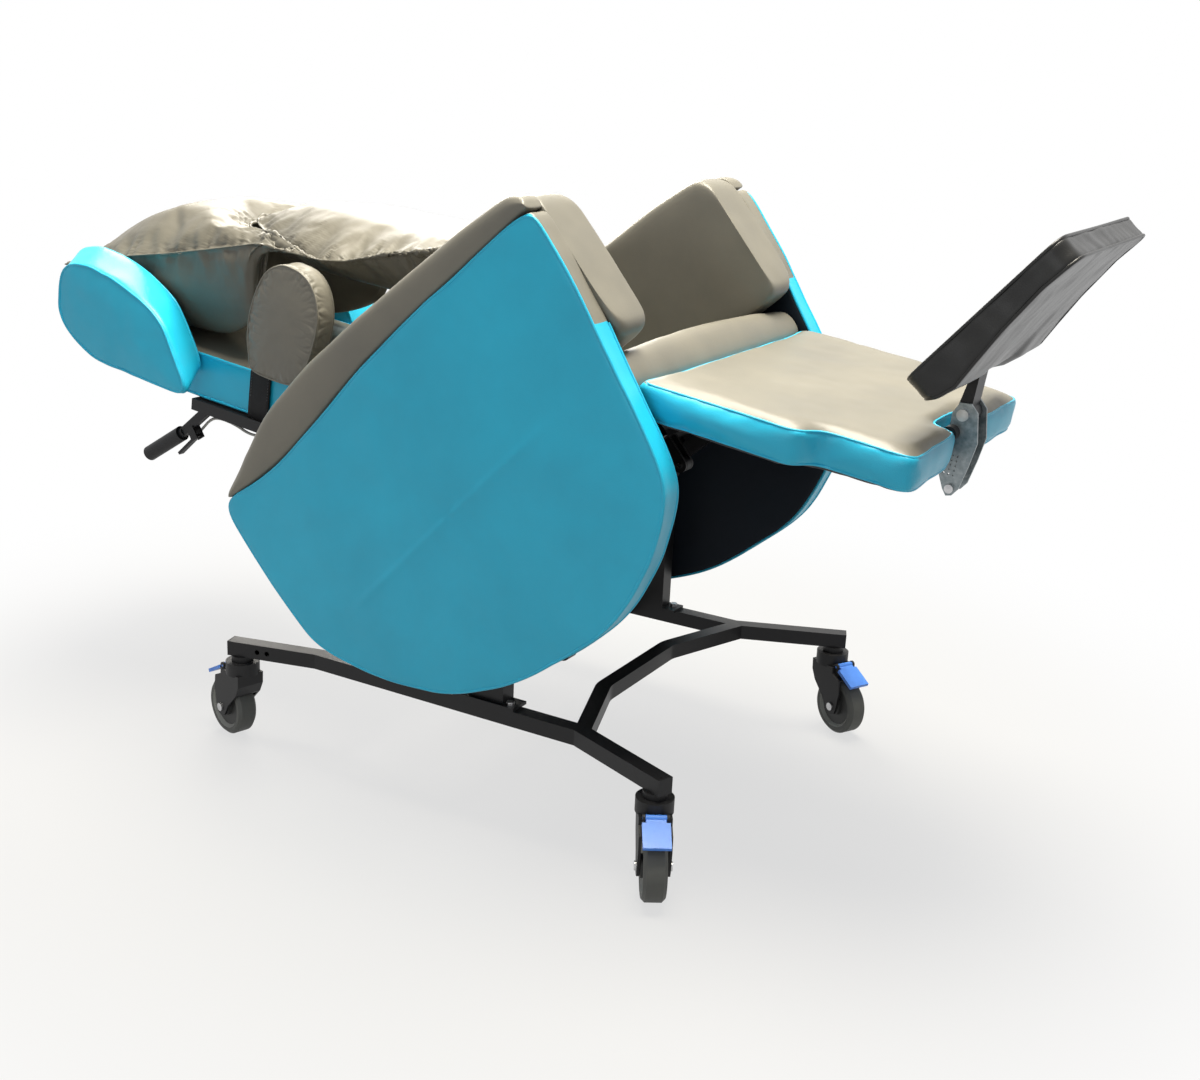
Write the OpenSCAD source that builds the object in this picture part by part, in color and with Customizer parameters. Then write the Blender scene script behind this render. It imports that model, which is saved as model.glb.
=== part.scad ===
// Tilt in space wheelchair, shown fully tilted, reclined and with the legrest raised.
// The front of the chair points along -Y, +Z is up and X is the width.
// Right and left are the occupant's own right (-X) and left (+X).

/* [Posture] */
// Backward tilt of the whole seat about its pivot, degrees
tilt_deg = 40; // [38:1:41]
// Angle of the backrest above the seat frame, degrees
back_deg = 47; // [46:1:50]
// Angle of the legrest below the seat frame, degrees
leg_deg = 48; // [46:1:52]
// Angle of the footplate above the line of the legrest, degrees
foot_deg = 57; // [50:1:66]

/* [Base frame] */
// Side of the square base tube
tube = 25; // [24:1:26]
// Wall of the square base tube
tube_wall = 2; // [1.5:0.5:3]
// Height of the top face of the base above the floor
base_top = 176; // [174:1:182]
// Distance between the middles of the two straight side rails
rail_pitch = 543; // [541:1:546]
// Length of the straight part of a side rail
rail_len = 502; // [490:1:520]
// How far each front leg splays sideways
front_splay = 73.5; // [65:0.5:85]
// How far each front leg reaches forward
front_reach = 182; // [175:1:190]
// How far each rear leg splays sideways
rear_splay = 38.5; // [30:0.5:50]
// How far each rear leg reaches rearward
rear_reach = 154; // [145:1:170]
// How far the front cross tube bows rearward
arch_bow = 58; // [45:1:65]
// Width of the middle of the front cross tube between its bends
arch_mid = 220; // [190:1:240]

/* [Castors] */
// Diameter of a castor wheel
wheel_d = 100; // [98:1:101]
// Width of the tyre
wheel_w = 34; // [30:1:36]
// Distance of the axle behind the swivel axis
castor_trail = 34; // [33:1:35]
// Diameter of the axle
axle_d = 8; // [7:1:10]

/* [Seat] */
// Half width of the seat cushion
seat_half = 292; // [280:1:296]
// Depth of the seat cushion from its front roll to its rear edge
seat_depth = 408; // [404:1:408]
// Height of the pivot of the tilt above the floor
pivot_h = 430; // [428:1:432]
// Thickness of the seat cushion at the top of its front roll
cushion_t = 76; // [72:1:76]
// Extra height of the cushion at its middle
cushion_crown = 14; // [8:1:16]

/* [Side panels] */
// Half of the overall width over the panels
panel_half = 344; // [342:1:350]
// Thickness of a side panel
panel_t = 44; // [40:1:44]
// Gap between the inner faces of the two armrests
arm_gap = 428; // [426:1:434]
// Length of a side panel
panel_len = 766; // [760:1:770]
// Depth of the rounded lower edge below the tilt pivot
panel_drop = 204; // [200:1:208]
// Height of the top of the armrest above the tilt pivot
arm_top = 380; // [376:1:382]

/* [Backrest] */
// Length of the backrest pad
back_len = 786; // [770:1:790]
// Half width of the backrest pad
back_half = 203; // [198:1:203]
// Thickness of the backrest pad
back_t = 80; // [76:1:80]
// Length of a push grip
grip_len = 104; // [96:1:112]

/* [Legrest] */
// Length of the legrest pad
leg_len = 393; // [388:1:394]
// Half width of the legrest pad at its wide rear part
leg_half = 292; // [286:1:294]
// Thickness of the legrest pad at its edge
leg_t = 49; // [46:1:49]
// Length of the footplate
foot_len = 268; // [250:1:280]
// Half width of the footplate
foot_half = 215; // [200:1:220]
// Thickness of the footplate
foot_t = 37; // [32:1:40]

/* [Hidden] */

// Overrun of a cut past the face that it opens
cut = 1;
// Clearance between flat faces that move past each other
gap = 0.3;
// Radial clearance of a pin in its bore
run_fit = 0.05;
// Facets of a plain round
round_fn = 48;

// Colours
col_teal = [0.16, 0.60, 0.72];
col_taupe = [0.55, 0.53, 0.49];
col_black = [0.07, 0.07, 0.08];
col_steel = [0.62, 0.63, 0.64];
col_zinc = [0.70, 0.71, 0.70];
col_tyre = [0.42, 0.43, 0.42];
col_pedal = [0.24, 0.48, 0.90];

// Base frame
tube_in = tube - 2 * tube_wall;
rail_x = rail_pitch / 2;
rail_front = -372;
rail_rear = rail_front + rail_len;
tip_front = [rail_x + front_splay, rail_front - front_reach];
tip_rear = [rail_x + rear_splay, rail_rear + rear_reach];
front_turn = atan2(front_splay, front_reach);
rear_turn = atan2(rear_splay, rear_reach);
base_z = base_top - tube;
arch_setback = 6;
arch_y = rail_front - arch_setback;
arch_turn = atan2(arch_bow, rail_x - arch_mid / 2);
arch_r = 60;
arch_t = arch_r * tan(arch_turn / 2);
cross_y = -152;
rear_cross_y = 96;
cap_t = 3;
side_hole_d = 8.4;
side_hole_at = 52;
side_hole_pitch = 18;

// Castor sockets
socket_d = 36;
socket_drop = 10;
sleeve_d = 22;
socket_in = 18;
castor_top = base_z - socket_drop;
stem_d = 12;
stem_top = base_top - tube_wall - cap_t;

// Uprights
upright_w = 64;
upright_t = 30;
upright_x = 246;
foot_plate_t = 5;
foot_plate_l = 112;
upright_wall = 3;
cap_r = 22;
cap_drop = 20;
cap_slope_share = 0.85;
bolt_d = 8;
bolt_head_d = 13;
bolt_head_h = 5;
bolt_inset = 13;
pivot_d = 16;
pivot_head_d = 28;
pivot_head_h = 6;

// Castors
head_d = 56;
head_h = 22;
flange_d = 26;
flange_h = 3;
fork_w = 48;
fork_slot = 40;
slot_r = wheel_d / 2 + 4;
fork_top = castor_top - gap;
fork_low = fork_top - head_h;
flange_z = fork_low - gap - flange_h;
pocket = 2;
fork_shares = [
    [-0.24, 1.22], [0.31, 1.22], [0.32, 1.12], [0.50, 1.04], [0.53, 0.80], [0.48, 0.50], [0.44, 0.39],
    [0.34, 0.35], [0.24, 0.38], [0.10, 0.60], [-0.14, 0.84], [-0.23, 1.02]
];
wheel_hub_d = 34;
wheel_hub_w = 38;
web_w = 22;
rim_d = 68;
tyre_round = 5;
axle_head_d = 14;
axle_head_h = 3;
pedal_x = 34;
pedal_z = castor_top - 17;
pedal_hub_d = 10;
pedal_pin_d = 4;
pedal_neck = 9;
pedal_len = 50;
pedal_drop = 28;
pedal_w = 40;
pedal_t = 6;
ear_in = 15.3;
ear_t = 3.7;
ear_r = 6;
// Turn of each castor about its swivel axis in the photographed state
turn_front_right = 212;
turn_front_left = 241;
turn_rear_right = 74;
turn_rear_left = 52;

// Seat frame, measured from the tilt pivot in the untilted seat
pivot_y = -205;
seat_tube_x = 227.5;
seat_tube_front = -325;
seat_tube_rear = 98;
bar_t = 10;
bar_w = 40;
front_bar_y = -298;
clevis_bar_y = -180;
lug_bar_y = -73;
rear_bar_y = 14;
stub_y = 64;
bar_z = tube / 2;
pan_t = 12;
pan_z = bar_z + bar_t;
pan_front = -316;
pan_rear = 42;
pan_inset = 2;
cushion_z = pan_z + pan_t + gap;
seat_front = -366;
panel_in = panel_half - panel_t;

// Backrest hinge and legrest hinge, measured in the untilted seat
back_y = 74;
back_z = 114;
hinge_plate_t = 6;
hinge_plate_x = 218;
hinge_plate_w = 44;
hinge_r = 16;
hinge_pin_d = 12;
hinge_head_d = 18;
leg_y = -342;
leg_z = 29;
leg_ear_r = 10;
leg_pin_d = 8;
leg_lug_x = 152;
leg_lug_t = 6;

// Gas struts
strut_d = 28;
strut_wall = 2;
rod_d = 10;
piston_h = 8;
collar_h = 8;
strut_pin_d = 9;
low_eye_d = 24;
eye_d = 34;
eye_t = 14;
eye_play = 6;
neck = 18;
clevis_t = 5;
clevis_gap = 16;
clevis_r = 12;
pin_over = 3;
tilt_strut_x = -35;
tilt_base_y = -205;
tilt_base_z = 180;
tilt_arm = 95;
tilt_arm_deg = 220;
tilt_strut_len = 150;
tilt_rod_from = 94;
back_strut_x = 35;
back_base_y = -180;
back_base_z = -35;
back_arm = 115;
back_arm_deg = 263.5;
back_strut_len = 168;
back_rod_from = 30;

// Side panels and armrests, measured in the untilted seat
panel_front = -400;
panel_height = panel_drop + arm_top;
panel_shares = [
    [0.003, 0.911], [0.281, 0.906], [0.535, 0.884], [0.792, 0.841], [0.98, 0.858], [1, 0.781],
    [0.986, 0.473], [0.969, 0.384], [0.901, 0.26], [0.8, 0.142], [0.727, 0.079], [0.601, 0.021],
    [0.462, 0], [0.316, 0.003], [0.206, 0.06], [0.141, 0.11], [0.084, 0.175], [0.068, 0.204],
    [0.05, 0.276], [0.04, 0.356], [0.03, 0.469], [0.02, 0.567], [0.009, 0.671], [0.003, 0.771], [0, 0.863]
];
// Length, upper edge and lower edge of the armrest cover
cap_shares = [
    [0.005, 0.933, 0.912], [0.021, 0.959, 0.912], [0.044, 0.976, 0.911], [0.15, 0.988, 0.909],
    [0.281, 0.995, 0.907], [0.495, 1, 0.888], [0.535, 0.999, 0.885], [0.608, 0.998, 0.873], [0.738, 0.983, 0.852],
    [0.807, 0.962, 0.844], [0.889, 0.921, 0.852], [0.932, 0.901, 0.855], [0.966, 0.878, 0.859],
    [0.98, 0.866, 0.86]
];
// Length, upper edge and lower edge of the inner arm pad
arm_shares = [
    [0, 0.901, 0.863], [0.004, 0.933, 0.717], [0.012, 0.949, 0.623], [0.021, 0.959, 0.586],
    [0.031, 0.967, 0.566], [0.044, 0.976, 0.558], [0.15, 0.988, 0.558], [0.281, 0.995, 0.558],
    [0.495, 1, 0.558], [0.593, 0.998, 0.558]
];
skirt_round = 5;
arm_round = 8;
edge_step_share = 0.3;

// Length, upper edge, lower edge and share of the crown of the seat cushion
seat_shares = [
    [0, 0.647, 0.647, 0.1], [0.007, 0.818, 0.411, 0.4], [0.027, 0.924, 0.253, 0.7], [0.059, 0.989, 0.154, 0.9],
    [0.098, 1, 0.095, 1], [0.162, 0.989, 0, 1], [0.284, 0.95, 0, 1], [0.407, 0.91, 0, 1],
    [0.652, 0.897, 0, 1], [0.897, 0.91, 0, 0.6], [0.975, 0.871, 0, 0.2], [1, 0.753, 0, 0]
];
seat_pull_share = 0.012;

// Backrest, measured along the back from its hinge
back_tube = 20;
back_tube_x = 200;
back_tube_len = 540;
back_low = 12;
pad_z = back_tube / 2 + 2;
pad_crown = 7;
pad_pull_share = 0.006;
back_bars = [10, 200, 400];
back_lug_top = 20;
strap_y = 373;
strap_w = 44;
strap_t = 1.6;
strap_gap = 0.2;
lateral_x = 197;
lateral_t = 44;
lateral_y = 256;
lateral_l = 146;
lateral_h = 191;
lateral_round = 7;
lateral_low = pad_z + back_t + pad_crown + strap_gap + strap_t + gap;
lateral_shares = [
    [0, 0.613], [0.041, 0.775], [0.13, 0.895], [0.267, 0.974], [0.425, 1], [0.582, 1],
    [0.781, 0.911], [0.904, 0.743], [0.986, 0.529], [1, 0.319], [0.952, 0.136], [0.849, 0],
    [0.233, 0], [0.11, 0.188], [0.034, 0.398]
];
wing_x = 203.3;
wing_t = 84.7;
wing_y = 483;
wing_l = 307;
wing_z = 42;
wing_h = 166;
wing_lean = 42;
wing_lift = 14;
wing_round = 7;
wing_shares = [
    [0, 0.024], [0.046, 0.253], [0.192, 0.645], [0.349, 0.819], [0.502, 0.934], [0.674, 0.994],
    [0.827, 1], [0.967, 0.886], [1, 0.536], [0.971, 0.361], [0.853, 0.181], [0.71, 0.054],
    [0.472, 0.012], [0.169, 0]
];
head_y = 652;
head_z = 236;
head_half = 207.2;
head_long = 225;
head_top = 60;
head_under = 119;
head_slope = 16;
pillow_y = 247.2;
pillow_z = 321;
pillow_half = 203;
pillow_long = 188.8;
pillow_top = 38;
pillow_under = 60;
pillow_slope = 8;
pillow_edge = 5;
pillow_pull_share = 0.05;

// Push handles, measured along the back from its hinge
handle_x = 183.4;
handle_t = 12;
handle_y = 427;
handle_bend = 522;
handle_z = -8;
handle_bar = 16;
grip_y = 577;
grip_z = -66;
grip_fall = 38.7;
grip_d = 27;
core_d = 18;
ears_from = 30;
ears_len = 16;
ears_in = 5.8;
ears_t = 3;
trigger_back = 22;
trigger_low = 19;
trigger_len = 60;
trigger_t = 5;
trigger_w = 11;
trigger_open = 10;
trigger_pin_d = 4;
cable_d = 5;
cable_x = -172;
cable_path = [[550, -58], [528, -30], [505, -24], [471, -26], [440, -34], [413, -30], [404, -12.6]];

// Legrest
leg_rear = 8;
leg_low = -8;
leg_tube = 20;
leg_tube_x = 140;
leg_tube_from = -30;
leg_tube_in = 35;
leg_tube_to = leg_rear - leg_len + leg_tube_in;
notch_half = 48;
notch_slope = 12;
notch_d = 37;
leg_front_share = 0.842;
leg_shares = [
    [0, 0.986, 0.837, 0.776], [0.033, 0.993, 0.939, 0.408], [0.071, 1, 1, 0.004], [0.173, 1, 1.041, 0.004],
    [0.326, 1, 1.061, 0.004], [0.478, 1, 1.082, 0.004], [0.595, 0.993, 1.061, 0.004], [0.687, 0.87, 1.061, 0.004],
    [0.835, 0.863, 1.041, 0.004], [0.962, 0.86, 1.02, 0.004], [0.99, 0.853, 0.98, 0.041], [1, 0.842, 0.898, 0.122]
];
leg_across_shares = [-1, -0.93, -0.72, -0.45, -0.24, -0.19, 0, 0.19, 0.24, 0.45, 0.72, 0.93, 1];
leg_crown = 4;
foot_in = 14;
foot_y = leg_rear - leg_len + foot_in;
foot_z = 60;
foot_root = 32;
foot_off = 35;
foot_round = 5;
plate_x = 20;
plate_t = 4;
plate_hole_d = 3;
plate_hole_pitch = 7;
bracket_low = -48;
bracket_in = 7;
bracket_low_y = leg_rear - leg_len + bracket_in;
bracket_len = 50;
bracket_tall = 138;
bracket_shares = [
    [0, 0.24], [0, 0.37], [0.14, 0.55], [0.10, 0.86], [0.24, 0.98], [0.56, 1], [0.80, 0.92], [1, 0.62],
    [0.92, 0.36], [0.80, 0.10], [0.66, 0.02], [0.50, 0], [0.36, 0.06], [0.16, 0.20]
];
main_bolt_d = 10;
main_head_d = 17;
main_head_h = 6;
knob_in = 23;
knob_y = leg_rear - leg_len + knob_in;
knob_z = 32;
knob_d = 22;
knob_l = 18;
knob_pin_d = 6;
hinge_hub_d = 28;
hinge_neck = 26;
hinge_pad_l = 56;
hinge_pad_t = 6;
hinge_pad_w = 90;
foot_shares = [
    [1, 0.10], [1, 0.94], [0.985, 0.975], [0.95, 0.995], [0.90, 1], [-0.90, 1], [-0.95, 0.995], [-0.985, 0.975],
    [-1, 0.94], [-1, 0.10], [-0.985, 0.05], [-0.93, 0.02], [-0.60, 0], [0.60, 0], [0.93, 0.02], [0.985, 0.05]
];

// Points of the moving groups in the chair
function seat_at(y, z) = [
    pivot_y + y * cos(tilt_deg) + z * sin(tilt_deg), pivot_h - y * sin(tilt_deg) + z * cos(tilt_deg)];
function turned(y, z, a) = [y * cos(a) - z * sin(a), y * sin(a) + z * cos(a)];
foot_far = turned(-foot_root - foot_len, foot_off + foot_round, leg_deg - foot_deg);
foot_pin = turned(foot_y, foot_z, leg_deg);
head_far = turned(head_y + head_long * cos(head_slope), head_z - head_long * sin(head_slope), back_deg);
front_end = seat_at(leg_y + foot_pin[0] + foot_far[0], leg_z + foot_pin[1] + foot_far[1]);
rear_end = seat_at(back_y + head_far[0], back_z + head_far[1]);
right_end = castor_trail * abs(cos(turn_front_right)) + wheel_d / 2 * abs(cos(turn_front_right))
    + wheel_w / 2 * abs(sin(turn_front_right));
left_end = head_d / 2 * abs(cos(turn_front_left)) + fork_w / 2 * abs(sin(turn_front_left));
// Shift that puts the origin on the floor under the middle of the whole chair
shift = [(right_end - left_end) / 2, -(front_end[0] + rear_end[0]) / 2, 0];

// Places of the moving groups
module ground() translate(shift) children();
module chair() ground() translate([0, pivot_y, pivot_h]) rotate([-tilt_deg, 0, 0]) children();
module back() chair() translate([0, back_y, back_z]) rotate([back_deg, 0, 0]) children();
module leg() chair() translate([0, leg_y, leg_z]) rotate([leg_deg, 0, 0]) children();
module foot() leg() translate([0, foot_y, foot_z]) rotate([-foot_deg, 0, 0]) children();

// A side-view outline in Y and Z, extruded along X from x
module side_slab(x, t) translate([x, 0, 0]) rotate([90, 0, 90]) linear_extrude(t) children();
// A round bar along X from x
module bar_x(x, y, z, d, l) translate([x, y, z]) rotate([0, 90, 0]) cylinder(d = d, h = l, $fn = round_fn);
// A child and its mirror image across the middle plane
module pair() {
    children();
    mirror([1, 0, 0]) children();
}

// Skins over rings of points, each ring as long as the others
function flat(lists) = [for (l = lists, p = l) p];
function ring_sides(rings, n) = flat([for (r = [0:rings - 2], k = [0:n - 1])
    [[r * n + k, r * n + (k + 1) % n, (r + 1) * n + (k + 1) % n],
        [r * n + k, (r + 1) * n + (k + 1) % n, (r + 1) * n + k]]]);
function strip_ends(rings, n) = flat([for (j = [0:n / 2 - 2])
    [[j + 1, j, n - 2 - j], [n - 2 - j, j, n - 1 - j],
        [(rings - 1) * n + j, (rings - 1) * n + j + 1, (rings - 1) * n + n - 2 - j],
        [(rings - 1) * n + j, (rings - 1) * n + n - 2 - j, (rings - 1) * n + n - 1 - j]]]);
function bulge(u, p) = 1 - pow(abs(u), p);
function spread(i, n) = -cos(180 * i / n);

// A crowned cushion with drawn-in sides: half sizes, half thickness of the edge, crowns above and below
module cushion(hx, hy, e, top, low, pull, p = 4, n = 10) {
    rings = [for (i = [0:n]) let (u = spread(i, n)) concat(
        [for (j = [0:n]) let (v = spread(j, n)) [
            hx * u * (1 - pull * bulge(v, 2)), hy * v * (1 - pull * bulge(u, 2)), e + top * bulge(u, p) * bulge(v, p)]],
        [for (j = [n:-1:0]) let (v = spread(j, n)) [
            hx * u * (1 - pull * bulge(v, 2)), hy * v * (1 - pull * bulge(u, 2)), -e - low * bulge(u, p) * bulge(v, p)]]
    )];
    polyhedron(flat(rings), concat(ring_sides(n + 1, 2 * n + 2), strip_ends(n + 1, 2 * n + 2)));
}

// A padded slab over a side-view outline, with its edge rounded at both faces
// The outer face leans by lean along Y and lift along Z
module puff(pts, x, t, edge, inner, lean = 0, lift = 0) {
    c = [for (a = [0, 1]) (max([for (p = pts) p[a]]) + min([for (p = pts) p[a]])) / 2];
    steps = [[0, inner], [inner, 0], [t - edge, 0], [t - edge * edge_step_share, edge * edge_step_share], [t, edge]];
    n = len(pts);
    polyhedron(
        [for (s = steps, p = pts) let (d = p - c, q = p - d / norm(d) * s[1])
            [x + s[0], q[0] - lean * s[0] / t, q[1] - lift * s[0] / t]],
        concat(ring_sides(len(steps), n), [[for (k = [n - 1:-1:0]) k]], [[for (k = [0:n - 1]) (len(steps) - 1) * n + k]])
    );
}

// Base
module tube_run(a, b, size, z, over_a, over_b) translate([0, 0, z]) linear_extrude(size) run_plan(a, b, size, over_a, over_b);
module run_plan(a, b, size, over_a, over_b) {
    d = b - a;
    translate(a) rotate(atan2(d[1], d[0])) translate([-over_a, -size / 2]) square([norm(d) + over_a + over_b, size]);
}
// Plan of all the tubes, each joined to the next by one mitred corner
function corner_at(p, q, r, half) = let (a = (q - p) / norm(q - p), b = (r - q) / norm(r - q), n = [-a[1], a[0]],
    m = [-b[1], b[0]], s = n + m) q + s * half / (s * n);
function edge_of(pts, half) = [for (k = [0:len(pts) - 1])
    k == 0 ? pts[0] + half * [-(pts[1] - pts[0])[1], (pts[1] - pts[0])[0]] / norm(pts[1] - pts[0])
    : k == len(pts) - 1 ? pts[k] + half * [-(pts[k] - pts[k - 1])[1], (pts[k] - pts[k - 1])[0]] / norm(pts[k] - pts[k - 1])
    : corner_at(pts[k - 1], pts[k], pts[k + 1], half)];
module ribbon(pts, size) polygon(concat(edge_of(pts, size / 2), [for (k = [len(pts) - 1:-1:0]) edge_of(pts, -size / 2)[k]]));
function arch_bend(side, n) = [for (i = [0:n]) let (a = arch_turn * i / n) [
    side * (arch_mid / 2 - arch_t + arch_r * sin(a)), arch_y + arch_bow - arch_r * (1 - cos(a))]];
function grown(a, b, over) = a - (b - a) / norm(b - a) * over;
module frame_runs(size, z, over) translate([0, 0, z]) linear_extrude(size) {
    for (side = [-1, 1]) ribbon([
        grown([side * tip_front[0], tip_front[1]], [side * rail_x, rail_front], over), [side * rail_x, rail_front],
        [side * rail_x, rail_rear], grown([side * tip_rear[0], tip_rear[1]], [side * rail_x, rail_rear], over)], size);
    ribbon(concat([[-rail_x, arch_y]], [for (k = [6:-1:0]) arch_bend(-1, 6)[k]], arch_bend(1, 6), [[rail_x, arch_y]]), size);
    for (y = [cross_y, rear_cross_y]) ribbon([[-rail_x, y], [rail_x, y]], size);
}
function back_from(tip, from, l) = tip - (tip - from) / norm(tip - from) * l;
socket_f = back_from(tip_front, [rail_x, rail_front], socket_in);
socket_r = back_from(tip_rear, [rail_x, rail_rear], socket_in);
module at_sockets() {
    for (p = [socket_f, socket_r]) pair() translate([p[0], p[1], 0]) children();
}
module at_rear_leg(l) {
    p = back_from(tip_rear, [rail_x, rail_rear], l);
    pair() translate([p[0], p[1], base_z + tube / 2]) rotate([0, 0, -rear_turn]) children();
}
module lug_pair(x) {
    for (s = [-1, 1]) side_slab(x + s * (clevis_gap + clevis_t) / 2 - clevis_t / 2, clevis_t) children();
}
module base_frame() color(col_black) ground() {
    difference() {
        union() {
            difference() {
                frame_runs(tube, base_z, 0);
                frame_runs(tube_in, base_z + tube_wall, cut);
            }
            at_sockets() {
                translate([0, 0, castor_top]) cylinder(d = socket_d, h = socket_drop, $fn = round_fn);
                translate([0, 0, base_z]) cylinder(d = sleeve_d, h = tube - tube_wall, $fn = round_fn);
            }
        }
        at_sockets() translate([0, 0, castor_top - cut])
            cylinder(d = stem_d + 2 * run_fit, h = stem_top - castor_top + cut, $fn = round_fn);
        at_foot_bolts() translate([0, 0, base_z - cut])
            cylinder(d = bolt_d + 2 * run_fit, h = tube + 2 * cut, $fn = round_fn);
        for (l = [side_hole_at, side_hole_at + side_hole_pitch]) at_rear_leg(l)
            bar_x(-tube / 2 - cut, 0, 0, side_hole_d, tube + 2 * cut);
    }
    lug_pair(tilt_strut_x) difference() {
        union() {
            translate([tilt_base_y, tilt_base_z]) circle(r = clevis_r, $fn = round_fn);
            polygon([[cross_y - tube / 2, base_z], [cross_y - tube / 2, base_top],
                [tilt_base_y, tilt_base_z + clevis_r], [tilt_base_y - clevis_r, tilt_base_z],
                [tilt_base_y, tilt_base_z - clevis_r]]);
        }
        translate([tilt_base_y, tilt_base_z]) circle(d = strut_pin_d + 2 * run_fit, $fn = round_fn);
    }
}
module at_foot_bolts() {
    for (s = [-1, 1]) pair() translate([rail_x, pivot_y + s * (foot_plate_l / 2 - bolt_inset), 0]) children();
}
module upright() {
    difference() {
        union() {
            side_slab(upright_x, upright_t) {
                translate([pivot_y, pivot_h]) circle(r = cap_r, $fn = round_fn);
                translate([pivot_y, pivot_h]) polygon([
                    [-upright_w / 2, base_top - pivot_h], [-upright_w / 2, -cap_drop],
                    [-cap_r * cap_slope_share, cap_r * (1 - cap_slope_share) * 2],
                    [cap_r * cap_slope_share, cap_r * (1 - cap_slope_share) * 2],
                    [upright_w / 2, -cap_drop], [upright_w / 2, base_top - pivot_h]]);
            }
            translate([rail_x - tube, pivot_y - foot_plate_l / 2, base_top])
                cube([tube * 1.5, foot_plate_l, foot_plate_t]);
        }
        translate([upright_x + upright_wall, pivot_y - upright_w / 2 + upright_wall, base_top + 2 * foot_plate_t])
            cube([upright_t - 2 * upright_wall, upright_w - 2 * upright_wall,
                pivot_h - base_top - cap_drop - 3 * cap_r / 2]);
        bar_x(upright_x - cut, pivot_y, pivot_h, pivot_d + 2 * run_fit, upright_t + 2 * cut);
        for (s = [-1, 1]) translate([rail_x, pivot_y + s * (foot_plate_l / 2 - bolt_inset), base_top - cut])
            cylinder(d = bolt_d + 2 * run_fit, h = foot_plate_t + 2 * cut, $fn = round_fn);
    }
}
module right_upright() color(col_black) ground() mirror([1, 0, 0]) upright();
module left_upright() color(col_black) ground() upright();
module frame_bolts() color(col_steel) ground() at_foot_bolts() {
    translate([0, 0, base_z]) cylinder(d = bolt_d, h = tube + foot_plate_t, $fn = round_fn);
    translate([0, 0, base_top + foot_plate_t]) cylinder(d = bolt_head_d, h = bolt_head_h, $fn = 6);
}
module tube_end_caps() color(col_black) ground() pair() {
    for (tip = [[tip_front, [rail_x, rail_front]], [tip_rear, [rail_x, rail_rear]]])
        tube_run(tip[0], tip[0] + (tip[0] - tip[1]) / norm(tip[0] - tip[1]) * cap_t, tube, base_z, 0, 0);
}
module castor_stems() color(col_steel) ground() at_sockets() {
    translate([0, 0, flange_z]) cylinder(d = stem_d, h = stem_top - flange_z, $fn = round_fn);
    translate([0, 0, flange_z]) cylinder(d = flange_d, h = flange_h, $fn = round_fn);
}
module strut_pin(x, y, z) {
    half = clevis_gap / 2 + clevis_t + pin_over;
    bar_x(x - half, y, z, strut_pin_d, 2 * half);
}
module base_pin() color(col_steel) ground() strut_pin(tilt_strut_x, tilt_base_y, tilt_base_z);

// Castors, drawn about their swivel axis with the wheel trailing along +X
module castor_at(side, s, turn) ground() translate([side * s[0], s[1], 0]) rotate([0, 0, turn]) children();
module across(x, z, d, w) translate([x, w / 2, z]) rotate([90, 0, 0]) cylinder(d = d, h = w, $fn = round_fn);
module fork() difference() {
    union() {
        translate([0, 0, fork_low]) cylinder(d = head_d, h = head_h, $fn = round_fn);
        translate([0, fork_w / 2, 0]) rotate([90, 0, 0]) linear_extrude(fork_w)
            polygon([for (p = fork_shares) p * wheel_d]);
        for (s = [-1, 1]) translate([0, s * (ear_in + ear_t / 2) + ear_t / 2, 0])
            rotate([90, 0, 0]) linear_extrude(ear_t) {
                translate([pedal_x, pedal_z]) circle(r = ear_r, $fn = round_fn);
                translate([pedal_x - 2 * ear_r, pedal_z - 3 * ear_r]) square([3 * ear_r, 3 * ear_r]);
            }
    }
    across(castor_trail, wheel_d / 2, 2 * slot_r, fork_slot);
    across(castor_trail, wheel_d / 2, axle_d + 2 * run_fit, fork_w + 2 * cut);
    translate([0, 0, flange_z - pocket])
        cylinder(d = flange_d + pocket, h = fork_low - flange_z + pocket, $fn = round_fn);
    translate([0, 0, flange_z - pocket])
        cylinder(d = stem_d + 2 * run_fit, h = fork_top - flange_z + pocket + cut, $fn = round_fn);
    across(pedal_x, pedal_z, pedal_hub_d + pocket, 2 * ear_in);
    translate([pedal_x, -ear_in, pedal_z]) rotate([0, pedal_drop, 0])
        translate([0, 0, -pedal_hub_d / 2 - cut]) cube([pedal_len, 2 * ear_in, pedal_hub_d + 2 * cut]);
    across(pedal_x, pedal_z, pedal_pin_d + 2 * run_fit, fork_w + 2 * cut);
}
module wheel() translate([castor_trail, 0, wheel_d / 2]) rotate([90, 0, 0]) rotate_extrude($fn = 96) polygon([
    [axle_d / 2 + run_fit, -wheel_hub_w / 2], [wheel_hub_d / 2, -wheel_hub_w / 2], [wheel_hub_d / 2, -web_w / 2],
    [rim_d / 2, -web_w / 2], [rim_d / 2 + tyre_round, -wheel_w / 2], [wheel_d / 2 - tyre_round, -wheel_w / 2],
    [wheel_d / 2, tyre_round - wheel_w / 2], [wheel_d / 2, wheel_w / 2 - tyre_round],
    [wheel_d / 2 - tyre_round, wheel_w / 2], [rim_d / 2 + tyre_round, wheel_w / 2], [rim_d / 2, web_w / 2],
    [wheel_hub_d / 2, web_w / 2], [wheel_hub_d / 2, wheel_hub_w / 2], [axle_d / 2 + run_fit, wheel_hub_w / 2]
]);
module axle() {
    across(castor_trail, wheel_d / 2, axle_d, fork_w);
    for (s = [-1, 1]) translate([0, s * (fork_w + axle_head_h) / 2, 0])
        across(castor_trail, wheel_d / 2, axle_head_d, axle_head_h);
}
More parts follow.
